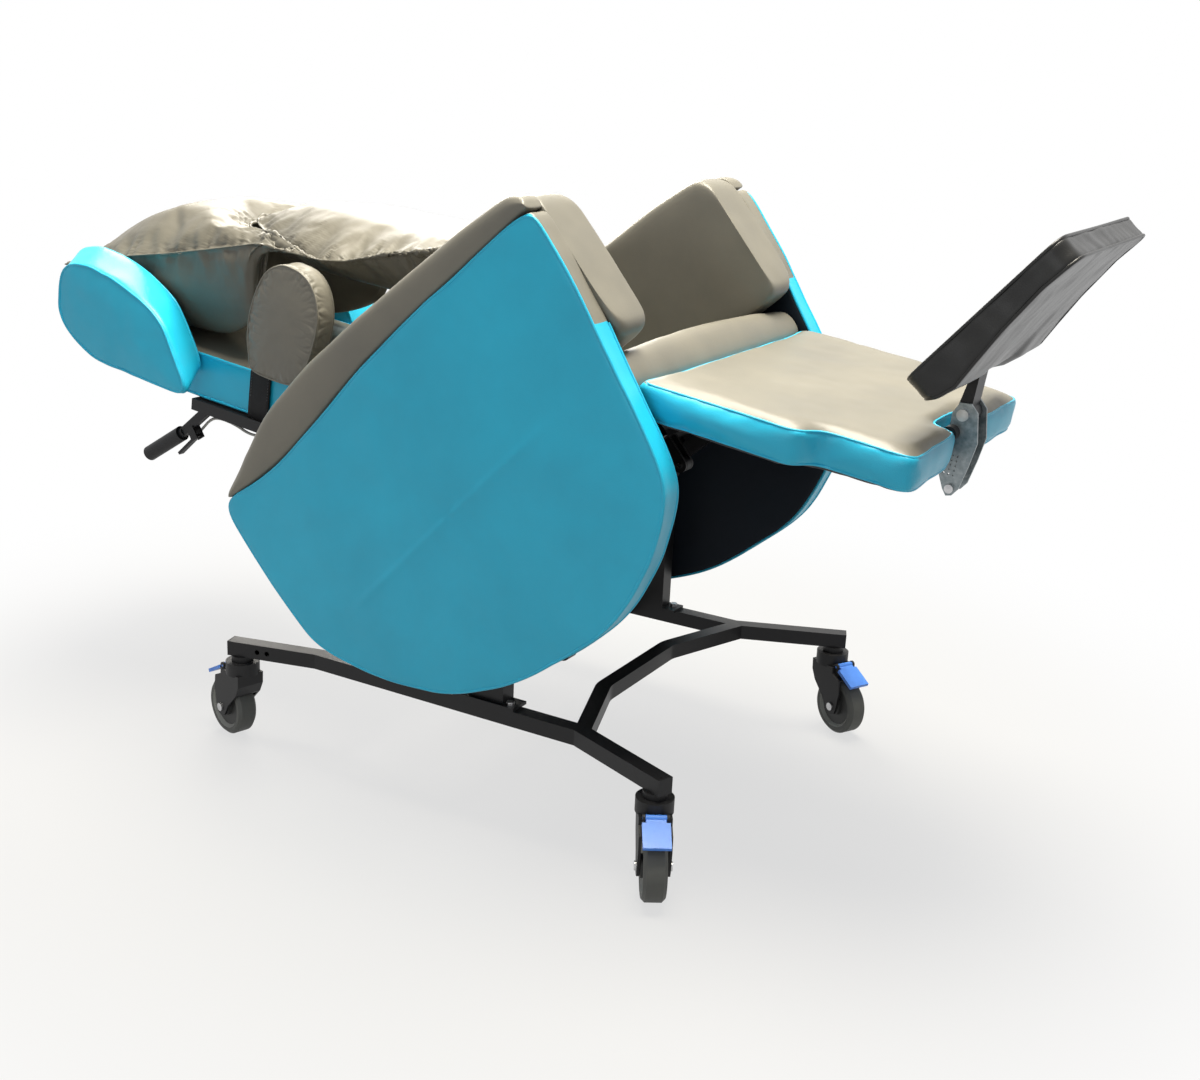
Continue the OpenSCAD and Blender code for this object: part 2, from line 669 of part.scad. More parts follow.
module pedal() {
    half = ear_in - gap;
    across(pedal_x, pedal_z, pedal_hub_d, 2 * half);
    across(pedal_x, pedal_z, pedal_pin_d, 2 * (ear_in + ear_t));
    translate([pedal_x, 0, pedal_z]) rotate([0, pedal_drop, 0]) {
        translate([0, cut - half, -pedal_t / 2]) cube([pedal_neck + cut, 2 * (half - cut), pedal_t]);
        translate([pedal_neck, -pedal_w / 2, -pedal_t / 2]) cube([pedal_len - pedal_neck, pedal_w, pedal_t]);
    }
}
module front_right_fork() color(col_black) castor_at(-1, socket_f, turn_front_right) fork();
module front_right_wheel() color(col_tyre) castor_at(-1, socket_f, turn_front_right) wheel();
module front_right_axle() color(col_steel) castor_at(-1, socket_f, turn_front_right) axle();
module front_right_pedal() color(col_pedal) castor_at(-1, socket_f, turn_front_right) pedal();
module front_left_fork() color(col_black) castor_at(1, socket_f, turn_front_left) fork();
module front_left_wheel() color(col_tyre) castor_at(1, socket_f, turn_front_left) wheel();
module front_left_axle() color(col_steel) castor_at(1, socket_f, turn_front_left) axle();
module front_left_pedal() color(col_pedal) castor_at(1, socket_f, turn_front_left) pedal();
module rear_right_fork() color(col_black) castor_at(-1, socket_r, turn_rear_right) fork();
module rear_right_wheel() color(col_tyre) castor_at(-1, socket_r, turn_rear_right) wheel();
module rear_right_axle() color(col_steel) castor_at(-1, socket_r, turn_rear_right) axle();
module rear_right_pedal() color(col_pedal) castor_at(-1, socket_r, turn_rear_right) pedal();
module rear_left_fork() color(col_black) castor_at(1, socket_r, turn_rear_left) fork();
module rear_left_wheel() color(col_tyre) castor_at(1, socket_r, turn_rear_left) wheel();
module rear_left_axle() color(col_steel) castor_at(1, socket_r, turn_rear_left) axle();
module rear_left_pedal() color(col_pedal) castor_at(1, socket_r, turn_rear_left) pedal();

// Gas struts, drawn from their lower pin along +Y
module along(from, d, l) translate([0, from, 0]) rotate([-90, 0, 0]) cylinder(d = d, h = l, $fn = round_fn);
module strut_tube(l) difference() {
    union() {
        bar_x(-eye_t / 2, 0, 0, low_eye_d, eye_t);
        along(0, rod_d, neck);
        along(neck, strut_d, l - neck);
    }
    along(neck + collar_h, strut_d - 2 * strut_wall, l - neck - 2 * collar_h);
    along(l - collar_h - cut, rod_d + 2 * run_fit, collar_h + 2 * cut);
    bar_x(-eye_t / 2 - cut, 0, 0, strut_pin_d + 2 * run_fit, eye_t + 2 * cut);
}
module strut_rod(from, l) difference() {
    union() {
        along(from, rod_d, l - from - strut_pin_d / 2 - eye_play);
        along(from, strut_d - 2 * strut_wall - 2 * gap, piston_h);
        translate([0, l, 0]) bar_x(-eye_t / 2, 0, 0, eye_d, eye_t);
    }
    translate([0, l, 0]) bar_x(-eye_t / 2 - cut, 0, 0, strut_pin_d + 2 * eye_play, eye_t + 2 * cut);
}
tilt_low = [tilt_base_y, tilt_base_z];
tilt_pin = [tilt_arm * cos(tilt_arm_deg), tilt_arm * sin(tilt_arm_deg)];
tilt_line = seat_at(tilt_pin[0], tilt_pin[1]) - tilt_low;
back_pin = [back_y + back_arm * cos(back_arm_deg), back_z + back_arm * sin(back_arm_deg)];
back_line = back_pin - [back_base_y, back_base_z];
module on_tilt_line() ground() translate([tilt_strut_x, tilt_base_y, tilt_base_z])
    rotate([atan2(tilt_line[1], tilt_line[0]), 0, 0]) children();
module on_back_line() chair() translate([back_strut_x, back_base_y, back_base_z])
    rotate([atan2(back_line[1], back_line[0]), 0, 0]) children();
module tilt_strut_tube() color(col_black) on_tilt_line() strut_tube(tilt_strut_len);
module tilt_strut_rod() color(col_steel) on_tilt_line() strut_rod(tilt_rod_from, norm(tilt_line));
module back_strut_tube() color(col_black) on_back_line() strut_tube(back_strut_len);
module back_strut_rod() color(col_steel) on_back_line() strut_rod(back_rod_from, norm(back_line));

// Seat
module seat_bar(y, half) translate([-half, y - bar_w / 2, bar_z]) cube([2 * half, bar_w, bar_t]);
module lug(y, z, top_y, top_z, half) difference() {
    union() {
        translate([y, z]) circle(r = clevis_r, $fn = round_fn);
        polygon([[y - clevis_r, z], [top_y - half, top_z], [top_y + half, top_z], [y + clevis_r, z]]);
    }
    translate([y, z]) circle(d = strut_pin_d + 2 * run_fit, $fn = round_fn);
}
module seat_frame() color(col_black) chair() {
    pair() difference() {
        translate([seat_tube_x - tube / 2, seat_tube_front, -tube / 2])
            cube([tube, seat_tube_rear - seat_tube_front, tube]);
        translate([seat_tube_x - tube_in / 2, seat_tube_front - cut, -tube_in / 2])
            cube([tube_in, seat_tube_rear - seat_tube_front + 2 * cut, tube_in]);
        bar_x(seat_tube_x - tube / 2 - cut, 0, 0, pivot_d + 2 * run_fit, tube + 2 * cut);
    }
    seat_bar(front_bar_y, panel_in);
    for (y = [clevis_bar_y, lug_bar_y, rear_bar_y]) seat_bar(y, seat_tube_x + tube / 2);
    pair() {
        translate([seat_tube_x, stub_y - bar_w / 2, bar_z]) cube([panel_in - seat_tube_x, bar_w, bar_t]);
        side_slab(hinge_plate_x, hinge_plate_t) difference() {
            union() {
                translate([back_y, back_z]) circle(r = hinge_r, $fn = round_fn);
                polygon([[back_y - hinge_r, back_z], [back_y - hinge_plate_w / 2, bar_z],
                    [back_y + hinge_plate_w / 2, bar_z], [back_y + hinge_r, back_z]]);
            }
            translate([back_y, back_z]) circle(d = hinge_pin_d + 2 * run_fit, $fn = round_fn);
        }
        side_slab(leg_lug_x, leg_lug_t) difference() {
            union() {
                translate([leg_y, leg_z]) circle(r = leg_ear_r, $fn = round_fn);
                polygon([[leg_y, leg_z - leg_ear_r], [front_bar_y - bar_w / 2, bar_z],
                    [front_bar_y - bar_w / 2, pan_z], [leg_y, leg_z + leg_ear_r]]);
            }
            translate([leg_y, leg_z]) circle(d = leg_pin_d + 2 * run_fit, $fn = round_fn);
        }
    }
    lug_pair(tilt_strut_x) lug(tilt_pin[0], tilt_pin[1], lug_bar_y, bar_z, bar_w / 2);
    lug_pair(back_strut_x) lug(back_base_y, back_base_z, clevis_bar_y, bar_z, clevis_r);
}
module seat_pins() color(col_steel) chair() {
    pair() {
        bar_x(seat_tube_x - tube / 2, 0, 0, pivot_d, upright_x + upright_t - seat_tube_x + tube / 2 + gap);
        bar_x(upright_x + upright_t + gap, 0, 0, pivot_head_d, pivot_head_h);
    }
    strut_pin(tilt_strut_x, tilt_pin[0], tilt_pin[1]);
    strut_pin(back_strut_x, back_base_y, back_base_z);
}
module seat_pan() color(col_black) chair()
    translate([pan_inset - seat_half, pan_front, pan_z])
        cube([2 * (seat_half - pan_inset), pan_rear - pan_front, pan_t]);
function seat_skin_at(u, s, k) = [
    seat_half * u * (1 - seat_pull_share * bulge(2 * s[0] - 1, 2)),
    seat_front + seat_depth * s[0],
    cushion_z + cushion_t * s[k] + (k == 1 ? cushion_crown * s[3] * bulge(u, 2) : 0)
];
module seat_cushion() color(col_taupe) chair() {
    n = 12;
    m = len(seat_shares);
    rings = [for (i = [0:n]) concat(
        [for (j = [0:m - 1]) seat_skin_at(spread(i, n), seat_shares[j], 1)],
        [for (j = [m - 1:-1:0]) seat_skin_at(spread(i, n), seat_shares[j], 2) - [0, 0, j == 0 ? gap : 0]])];
    polyhedron(flat(rings), concat(ring_sides(n + 1, 2 * m), strip_ends(n + 1, 2 * m)));
}

// Side panels and armrests
function panel_at(s) = [panel_front + panel_len * s[0], arm_top - panel_height * (1 - s[1])];
module panel() puff([for (s = panel_shares) panel_at(s)], panel_in, panel_t, skirt_round * 2, skirt_round);
// Skin over rows with an upper and a lower edge, drawn from x with its edges softened
module rows(shares, x, t, inner, outer) {
    steps = [[0, inner], [t * edge_step_share, 0], [t - t * edge_step_share, 0], [t, outer]];
    m = len(shares);
    polyhedron(
        flat([for (s = steps) concat(
            [for (r = shares) let (p = panel_at(r), low = panel_at([r[0], r[2]]))
                [x + s[0], p[0], max(low[1] + gap, p[1] - s[1])]],
            [for (k = [m - 1:-1:0]) let (p = panel_at([shares[k][0], shares[k][2]])) [x + s[0], p[0], p[1]]])]),
        concat(ring_sides(len(steps), 2 * m), strip_ends(len(steps), 2 * m))
    );
}
module arm_cap() rows(cap_shares, panel_in + gap, panel_t - gap, 0, arm_round);
module arm_pad() rows(arm_shares, arm_gap / 2, panel_in - arm_gap / 2, arm_round, 0);
module right_side_panel() color(col_teal) chair() mirror([1, 0, 0]) panel();
module left_side_panel() color(col_teal) chair() panel();
module right_arm_cap() color(col_taupe) chair() mirror([1, 0, 0]) arm_cap();
module left_arm_cap() color(col_taupe) chair() arm_cap();
module right_arm_pad() color(col_taupe) chair() mirror([1, 0, 0]) arm_pad();
module left_arm_pad() color(col_taupe) chair() arm_pad();

// Backrest
back_pin_at = turned(back_pin[0] - back_y, back_pin[1] - back_z, -back_deg);
module back_frame() color(col_black) back() {
    pair() difference() {
        translate([back_tube_x - back_tube / 2, -back_low, -back_tube / 2])
            cube([back_tube, back_tube_len + back_low, back_tube]);
        bar_x(back_tube_x - back_tube / 2 - cut, 0, 0, hinge_pin_d + 2 * run_fit, back_tube + 2 * cut);
        translate([back_tube_x - back_tube / 2 + tube_wall, back_tube, tube_wall - back_tube / 2])
            cube([back_tube - 2 * tube_wall, back_tube_len, back_tube - 2 * tube_wall]);
    }
    for (y = back_bars) translate([back_tube / 2 - back_tube_x, y - back_tube / 2, -back_tube / 2])
        cube([2 * back_tube_x - back_tube, back_tube, back_tube / 2]);
    lug_pair(back_strut_x) difference() {
        union() {
            translate(back_pin_at) circle(r = clevis_r, $fn = round_fn);
            polygon([back_pin_at + [-clevis_r / 2, clevis_r], [0, 0], [back_lug_top, 0],
                [back_lug_top, -back_tube / 2], back_pin_at + [clevis_r / 2, -clevis_r]]);
        }
        translate(back_pin_at) circle(d = strut_pin_d + 2 * run_fit, $fn = round_fn);
    }
}
module back_pins() color(col_steel) back() {
    pair() {
        bar_x(back_tube_x - back_tube / 2, 0, 0, hinge_pin_d,
            hinge_plate_x + hinge_plate_t + gap - back_tube_x + back_tube / 2);
        bar_x(hinge_plate_x + hinge_plate_t + gap, 0, 0, hinge_head_d, axle_head_h);
    }
    strut_pin(back_strut_x, back_pin_at[0], back_pin_at[1]);
}
module backrest_pad() color(col_taupe) back() translate([0, back_low + back_len / 2, pad_z + back_t / 2])
    cushion(back_half, back_len / 2, back_t / 2, pad_crown, 0, pad_pull_share);
module back_strap() color(col_black) back() {
    low = pad_z - strap_gap;
    high = pad_z + back_t + pad_crown + strap_gap;
    half = back_half + strap_gap;
    translate([0, strap_y, 0]) difference() {
        translate([-half - strap_t, 0, low - strap_t])
            cube([2 * half + 2 * strap_t, strap_w, high - low + 2 * strap_t]);
        translate([-half, -cut, low]) cube([2 * half, strap_w + 2 * cut, high - low]);
    }
}
module lateral() puff([for (s = lateral_shares) [lateral_y + lateral_l * s[0], lateral_low + lateral_h * s[1]]],
    lateral_x, lateral_t, lateral_round, lateral_round);
module wing() puff([for (s = wing_shares) [wing_y + wing_lean + wing_l * s[0], wing_z + wing_lift + wing_h * s[1]]],
    wing_x, wing_t, wing_round, wing_round, wing_lean, wing_lift);
module right_lateral_pad() color(col_taupe) back() mirror([1, 0, 0]) lateral();
module left_lateral_pad() color(col_taupe) back() lateral();
module right_head_wing() color(col_teal) back() mirror([1, 0, 0]) wing();
module left_head_wing() color(col_teal) back() wing();
module head_pillow() color(col_taupe) back() translate([0, head_y, head_z]) rotate([-head_slope, 0, 0])
    cushion(head_half, head_long, pillow_edge, head_top, head_under, pillow_pull_share);
module back_pillow() color(col_taupe) back() translate([0, pillow_y, pillow_z]) rotate([-pillow_slope, 0, 0])
    cushion(pillow_half, pillow_long, pillow_edge, pillow_top, pillow_under, pillow_pull_share);

// Push handles with their release triggers
module on_grip() translate([handle_x, grip_y, grip_z]) rotate([-grip_fall, 0, 0]) children();
handle_turn = atan2(grip_z - handle_z, grip_y - handle_bend);
module handle() {
    translate([back_tube_x - back_tube / 2 - handle_t, handle_y, handle_z - handle_bar / 2])
        cube([handle_t, handle_bend - handle_y, handle_bar]);
    translate([handle_x, handle_bend, handle_z]) rotate([handle_turn, 0, 0])
        translate([-handle_t / 2, -handle_bar / 3, -handle_bar / 2])
            cube([handle_t, norm([grip_y - handle_bend, grip_z - handle_z]) + handle_bar / 2, handle_bar]);
    on_grip() {
        along(0, core_d, grip_len);
        along(handle_bar / 2, grip_d, grip_len - handle_bar / 2);
        difference() {
            for (s = [-1, 1]) translate([s * (ears_in + ears_t / 2) - ears_t / 2, -ears_from, -trigger_low - trigger_t])
                cube([ears_t, ears_len, trigger_low + trigger_t]);
            bar_x(-grip_d, -trigger_back, -trigger_low, trigger_pin_d + 2 * run_fit, 2 * grip_d);
        }
    }
}
module trigger() on_grip() translate([0, -trigger_back, -trigger_low]) rotate([-trigger_open, 0, 0]) {
    translate([-trigger_w / 2, -trigger_t, -trigger_t / 2]) cube([trigger_w, trigger_len, trigger_t]);
    bar_x(-ears_in - ears_t, 0, 0, trigger_pin_d, 2 * (ears_in + ears_t));
}
module right_push_handle() color(col_black) back() mirror([1, 0, 0]) handle();
module left_push_handle() color(col_black) back() handle();
module right_trigger() color(col_black) back() mirror([1, 0, 0]) trigger();
module left_trigger() color(col_black) back() trigger();
function softened(p) = concat([p[0]], flat([for (k = [0:len(p) - 2])
    [p[k] * 3 / 4 + p[k + 1] / 4, p[k] / 4 + p[k + 1] * 3 / 4]]), [p[len(p) - 1]]);
module release_cable() color(col_steel) back() {
    n = 8;
    path = softened(softened(cable_path));
    last = len(path) - 1;
    rings = [for (k = [0:last]) let (d = path[min(k + 1, last)] - path[max(k - 1, 0)], side = [-d[1], d[0]] / norm(d))
        [for (i = [0:n - 1]) let (out = side * sin(360 * i / n) * cable_d / 2)
            [cable_x + cable_d / 2 * cos(360 * i / n), path[k][0] + out[0], path[k][1] + out[1]]]];
    polyhedron(flat(rings), concat(ring_sides(last + 1, n), [[for (k = [n - 1:-1:0]) k]], [[for (k = [0:n - 1]) last * n + k]]));
}

// Legrest and footplate
module legrest_frame() color(col_black) leg() {
    pair() {
        translate([leg_tube_x - leg_tube / 2, leg_tube_to, leg_low - leg_tube])
            cube([leg_tube, leg_tube_from - leg_tube_to, leg_tube]);
        side_slab(leg_tube_x - leg_tube / 2, leg_tube) {
            circle(r = leg_ear_r, $fn = round_fn);
            polygon([[0, -leg_ear_r], [0, 0], [-leg_ear_r, leg_low - gap], [leg_tube_from, leg_low],
                [leg_tube_from, leg_low - leg_tube]]);
        }
        bar_x(leg_tube_x, 0, 0, leg_pin_d, leg_lug_x + leg_lug_t + cut - leg_tube_x);
    }
    for (y = [leg_tube_to, (leg_tube_to + leg_tube_from) / 2]) translate([-leg_tube_x, y, leg_low - leg_tube])
        cube([2 * leg_tube_x, leg_tube, leg_tube]);
}
function notch_at(u) = let (a = abs(u) * leg_half * leg_front_share)
    a <= notch_half ? notch_d : a >= notch_half + notch_slope ? 0 : notch_d * (notch_half + notch_slope - a) / notch_slope;
function leg_skin_at(u, s, c) = [
    leg_half * s[1] * u,
    leg_rear - s[0] * (leg_len - notch_at(u) * max(0, 2 * s[0] - 1)),
    leg_low + leg_t * s[c] + (c == 2 ? leg_crown * bulge(u, 4) - (abs(u) == 1 ? leg_crown : 0) : 0)
];
module legrest_pad() color(col_taupe) leg() {
    m = len(leg_shares);
    k = len(leg_across_shares);
    rings = [for (u = leg_across_shares) concat(
        [for (j = [m - 1:-1:0]) leg_skin_at(u, leg_shares[j], 2)],
        [for (j = [0:m - 1]) leg_skin_at(u, leg_shares[j], 3)])];
    polyhedron(flat(rings), concat(ring_sides(k, 2 * m), strip_ends(k, 2 * m)));
}
module bracket_plate() difference() {
    polygon([for (s = bracket_shares) [leg_tube_to - bracket_len * s[0], bracket_low - clevis_r + bracket_tall * s[1]]]);
    translate([foot_y, foot_z]) circle(d = main_bolt_d + 2 * run_fit, $fn = round_fn);
    translate([bracket_low_y, bracket_low]) circle(d = knob_pin_d + 2 * run_fit, $fn = round_fn);
    translate([knob_y, knob_z]) circle(d = knob_pin_d + 2 * run_fit, $fn = round_fn);
    for (i = [0:3], j = [0:4]) translate([foot_y - (i - 2) * plate_hole_pitch, -plate_hole_pitch * j])
        circle(d = plate_hole_d, $fn = 16);
}
module footplate_bracket() color(col_zinc) leg() pair() side_slab(plate_x, plate_t) bracket_plate();
module bracket_bolts() color(col_steel) leg() {
    bar_x(-plate_x - plate_t, foot_y, foot_z, main_bolt_d, 2 * (plate_x + plate_t));
    bar_x(-plate_x - plate_t, bracket_low_y, bracket_low, knob_pin_d, 2 * (plate_x + plate_t));
    pair() {
        bar_x(plate_x + plate_t, foot_y, foot_z, main_head_d, main_head_h);
        bar_x(plate_x + plate_t, bracket_low_y, bracket_low, bolt_head_d, bolt_head_h);
    }
}
module angle_knob() color(col_black) leg() mirror([1, 0, 0]) {
    bar_x(plate_x - knob_pin_d, knob_y, knob_z, knob_pin_d, plate_t + 2 * knob_pin_d);
    bar_x(plate_x + plate_t + gap, knob_y, knob_z, knob_d, knob_l);
}
module footplate_hinge() color(col_black) foot() {
    half = plate_x - gap;
    difference() {
        side_slab(-half, 2 * half) {
            circle(d = hinge_hub_d, $fn = round_fn);
            polygon([[0, hinge_hub_d / 2], [-foot_root, foot_off - hinge_pad_t],
                [-foot_root - hinge_neck, foot_off - hinge_pad_t], [-hinge_hub_d / 2, 0]]);
        }
        bar_x(-plate_x - cut, 0, 0, main_bolt_d + 2 * run_fit, 2 * plate_x + 2 * cut);
    }
    translate([-hinge_pad_w / 2, -foot_root - hinge_pad_l, foot_off - hinge_pad_t])
        cube([hinge_pad_w, hinge_pad_l, hinge_pad_t]);
}
module footplate() color(col_black) foot() rotate([0, 90, 0]) rotate([0, 0, 180])
    puff([for (s = foot_shares) [foot_root + foot_len * s[1], foot_half * s[0]]], foot_off, foot_t, foot_round, foot_round);

base_frame();
right_upright();
left_upright();
frame_bolts();
tube_end_caps();
castor_stems();
base_pin();
front_right_fork();
front_right_wheel();
front_right_axle();
front_right_pedal();
front_left_fork();
front_left_wheel();
front_left_axle();
front_left_pedal();
rear_right_fork();
rear_right_wheel();
rear_right_axle();
rear_right_pedal();
rear_left_fork();
rear_left_wheel();
rear_left_axle();
rear_left_pedal();
tilt_strut_tube();
tilt_strut_rod();
back_strut_tube();
back_strut_rod();
seat_frame();
seat_pins();
seat_pan();
seat_cushion();
right_side_panel();
left_side_panel();
right_arm_cap();
left_arm_cap();
right_arm_pad();
left_arm_pad();
back_frame();
back_pins();
backrest_pad();
back_strap();
right_lateral_pad();
left_lateral_pad();
right_head_wing();
left_head_wing();
head_pillow();
back_pillow();
right_push_handle();
left_push_handle();
right_trigger();
left_trigger();
release_cable();
legrest_frame();
legrest_pad();
footplate_bracket();
bracket_bolts();
angle_knob();
footplate_hinge();
footplate();
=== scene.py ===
import math

import bmesh
import bpy
from mathutils import Matrix, Vector, kdtree, noise


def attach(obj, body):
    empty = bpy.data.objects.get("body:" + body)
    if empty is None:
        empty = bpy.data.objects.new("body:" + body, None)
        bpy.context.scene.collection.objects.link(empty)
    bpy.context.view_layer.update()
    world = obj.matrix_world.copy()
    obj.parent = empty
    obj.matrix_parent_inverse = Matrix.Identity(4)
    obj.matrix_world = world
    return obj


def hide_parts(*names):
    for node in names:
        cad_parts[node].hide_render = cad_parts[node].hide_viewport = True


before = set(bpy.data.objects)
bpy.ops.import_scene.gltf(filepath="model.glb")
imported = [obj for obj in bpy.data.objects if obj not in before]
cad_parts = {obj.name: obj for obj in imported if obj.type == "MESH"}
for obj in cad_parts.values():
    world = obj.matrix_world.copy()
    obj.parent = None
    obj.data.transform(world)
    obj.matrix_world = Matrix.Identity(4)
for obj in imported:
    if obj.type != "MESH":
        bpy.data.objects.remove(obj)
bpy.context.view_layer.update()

# Camera
# It stands to the right of the chair's front, a little above the armrest, and looks slightly down.
# Its lens and its small shift give the photograph's own framing.
def set_out(name, data):
    """A new object of this mesh, lamp or camera, in the scene."""
    piece = bpy.data.objects.new(name, data)
    scene.collection.objects.link(piece)
    return piece


scene = bpy.context.scene
chair_shift = Vector((0.02284, 0.11257, 0.0))
photo_width, photo_height, focal_px, centre_x, centre_y, sensor = 1200, 1080, 1481.42, 608.50, 504.61, 36.0
look_yaw, look_pitch, look_roll = 0.507594213, -0.283823262, 0.0476096
ahead = Vector((math.cos(look_pitch) * math.cos(look_yaw), math.cos(look_pitch) * math.sin(look_yaw),
                math.sin(look_pitch)))
level = Vector((math.sin(look_yaw), -math.cos(look_yaw), 0.0))
upward = level.cross(ahead)
right = level * math.cos(look_roll) + upward * math.sin(look_roll)
top = upward * math.cos(look_roll) - level * math.sin(look_roll)
camera_data = bpy.data.cameras.new("camera")
camera_data.sensor_fit = "HORIZONTAL"
camera_data.sensor_width = sensor
camera_data.lens = focal_px / photo_width * sensor
camera_data.shift_x = (photo_width / 2 - centre_x) / photo_width
camera_data.shift_y = (centre_y - photo_height / 2) / photo_width
camera = set_out("camera", camera_data)
camera.matrix_world = Matrix.Translation(Vector((-2.0306, -1.3813, 1.1157)) + chair_shift) @ Matrix(
    (right, top, -ahead)).transposed().to_4x4()
scene.camera = camera

# Room light and floor
# A pale floor that keeps the chair's shadow, a white surround for the camera and for reflections,
# and soft lamps above the chair that light it at a plain level.
def seen_directly(tree):
    """The socket that is 1 for the camera, for a mirror image and for a look through something clear."""
    ray, found = tree.nodes.new("ShaderNodeLightPath"), None
    for kind in ("Is Camera Ray", "Is Glossy Ray", "Is Transmission Ray"):
        if found is None:
            found = ray.outputs[kind]
            continue
        either = tree.nodes.new("ShaderNodeMath")
        either.operation = "MAXIMUM"
        tree.links.new(found, either.inputs[0])
        tree.links.new(ray.outputs[kind], either.inputs[1])
        found = either.outputs[0]
    return found


scene.view_settings.view_transform = "Standard"
world = bpy.data.worlds.new("surround")
scene.world = world
world.use_nodes = True
tree = world.node_tree
nodes, links = tree.nodes, tree.links
nodes.clear()
world_out = nodes.new("ShaderNodeOutputWorld")
seen = nodes.new("ShaderNodeBackground")
seen.inputs["Color"].default_value = (1.0, 1.0, 1.0, 1)
lit = nodes.new("ShaderNodeBackground")
lit.inputs["Color"].default_value = (0.95, 0.96, 1.0, 1)
lit.inputs["Strength"].default_value = 0.30
mixer = nodes.new("ShaderNodeMixShader")
links.new(seen_directly(tree), mixer.inputs[0])
links.new(lit.outputs[0], mixer.inputs[1])
links.new(seen.outputs[0], mixer.inputs[2])
links.new(mixer.outputs[0], world_out.inputs[0])

floor_half = 30
floor_corners = [(x * floor_half, y * floor_half, 0) for x, y in ((-1, -1), (1, -1), (1, 1), (-1, 1))]
floor_mesh = bpy.data.meshes.new("floor")
floor_mesh.from_pydata(floor_corners, [], [(0, 1, 2, 3)])
floor = set_out("floor", floor_mesh)
floor_look = bpy.data.materials.new("pale_floor")
floor_look.use_nodes = True
tree = floor_look.node_tree
nodes, links = tree.nodes, tree.links
shader = nodes["Principled BSDF"]
shader.inputs["Roughness"].default_value = 0.7
place = nodes.new("ShaderNodeTexCoord")
cloud = nodes.new("ShaderNodeTexNoise")
cloud.inputs["Scale"].default_value = 0.6
ramp = nodes.new("ShaderNodeValToRGB")
ramp.color_ramp.elements[0].color = (0.27, 0.27, 0.27, 1)
ramp.color_ramp.elements[1].color = (0.30, 0.30, 0.295, 1)
far_white = nodes.new("ShaderNodeEmission")
away_from_chair = nodes.new("ShaderNodeVectorMath")
away_from_chair.operation = "LENGTH"
fade = nodes.new("ShaderNodeMapRange")
fade.interpolation_type = "SMOOTHERSTEP"
fade.inputs["From Min"].default_value = 0.55
fade.inputs["From Max"].default_value = 1.7
fade.inputs["To Min"].default_value = 0.68
whole = nodes.new("ShaderNodeMixShader")
only_then = nodes.new("ShaderNodeMath")
only_then.operation = "MULTIPLY"
links.new(place.outputs["Object"], cloud.inputs["Vector"])
links.new(cloud.outputs["Fac"], ramp.inputs["Fac"])
links.new(ramp.outputs["Color"], shader.inputs["Base Color"])
links.new(place.outputs["Object"], away_from_chair.inputs[0])
links.new(away_from_chair.outputs["Value"], fade.inputs["Value"])
links.new(fade.outputs["Result"], only_then.inputs[0])
links.new(seen_directly(tree), only_then.inputs[1])
links.new(only_then.outputs[0], whole.inputs[0])
links.new(shader.outputs[0], whole.inputs[1])
links.new(far_white.outputs[0], whole.inputs[2])
links.new(whole.outputs[0], nodes["Material Output"].inputs["Surface"])
floor_mesh.materials.append(floor_look)

for name, spot, aim, size, power, colour in (
        ("key_lamp", (0.3, -0.2, 3.6), (0.0, 0.0, 0.5), 2.2, 300, (1.0, 0.935, 0.80)),
        ("fill_lamp", (-3.6, -0.6, 1.5), (0.0, 0.1, 0.5), 2.4, 14, (0.96, 0.98, 1.0)),
        ("rim_lamp", (2.4, 2.2, 2.4), (0.0, 0.2, 0.6), 2.0, 100, (1.0, 0.955, 0.87))):
    lamp_data = bpy.data.lights.new(name, "AREA")
    lamp_data.shape = "DISK"
    lamp_data.size = size
    lamp_data.energy = power
    lamp_data.color = colour
    lamp = set_out(name, lamp_data)
    lamp.location = spot
    lamp.rotation_euler = (Vector(aim) - Vector(spot)).to_track_quat("-Z", "Y").to_euler()


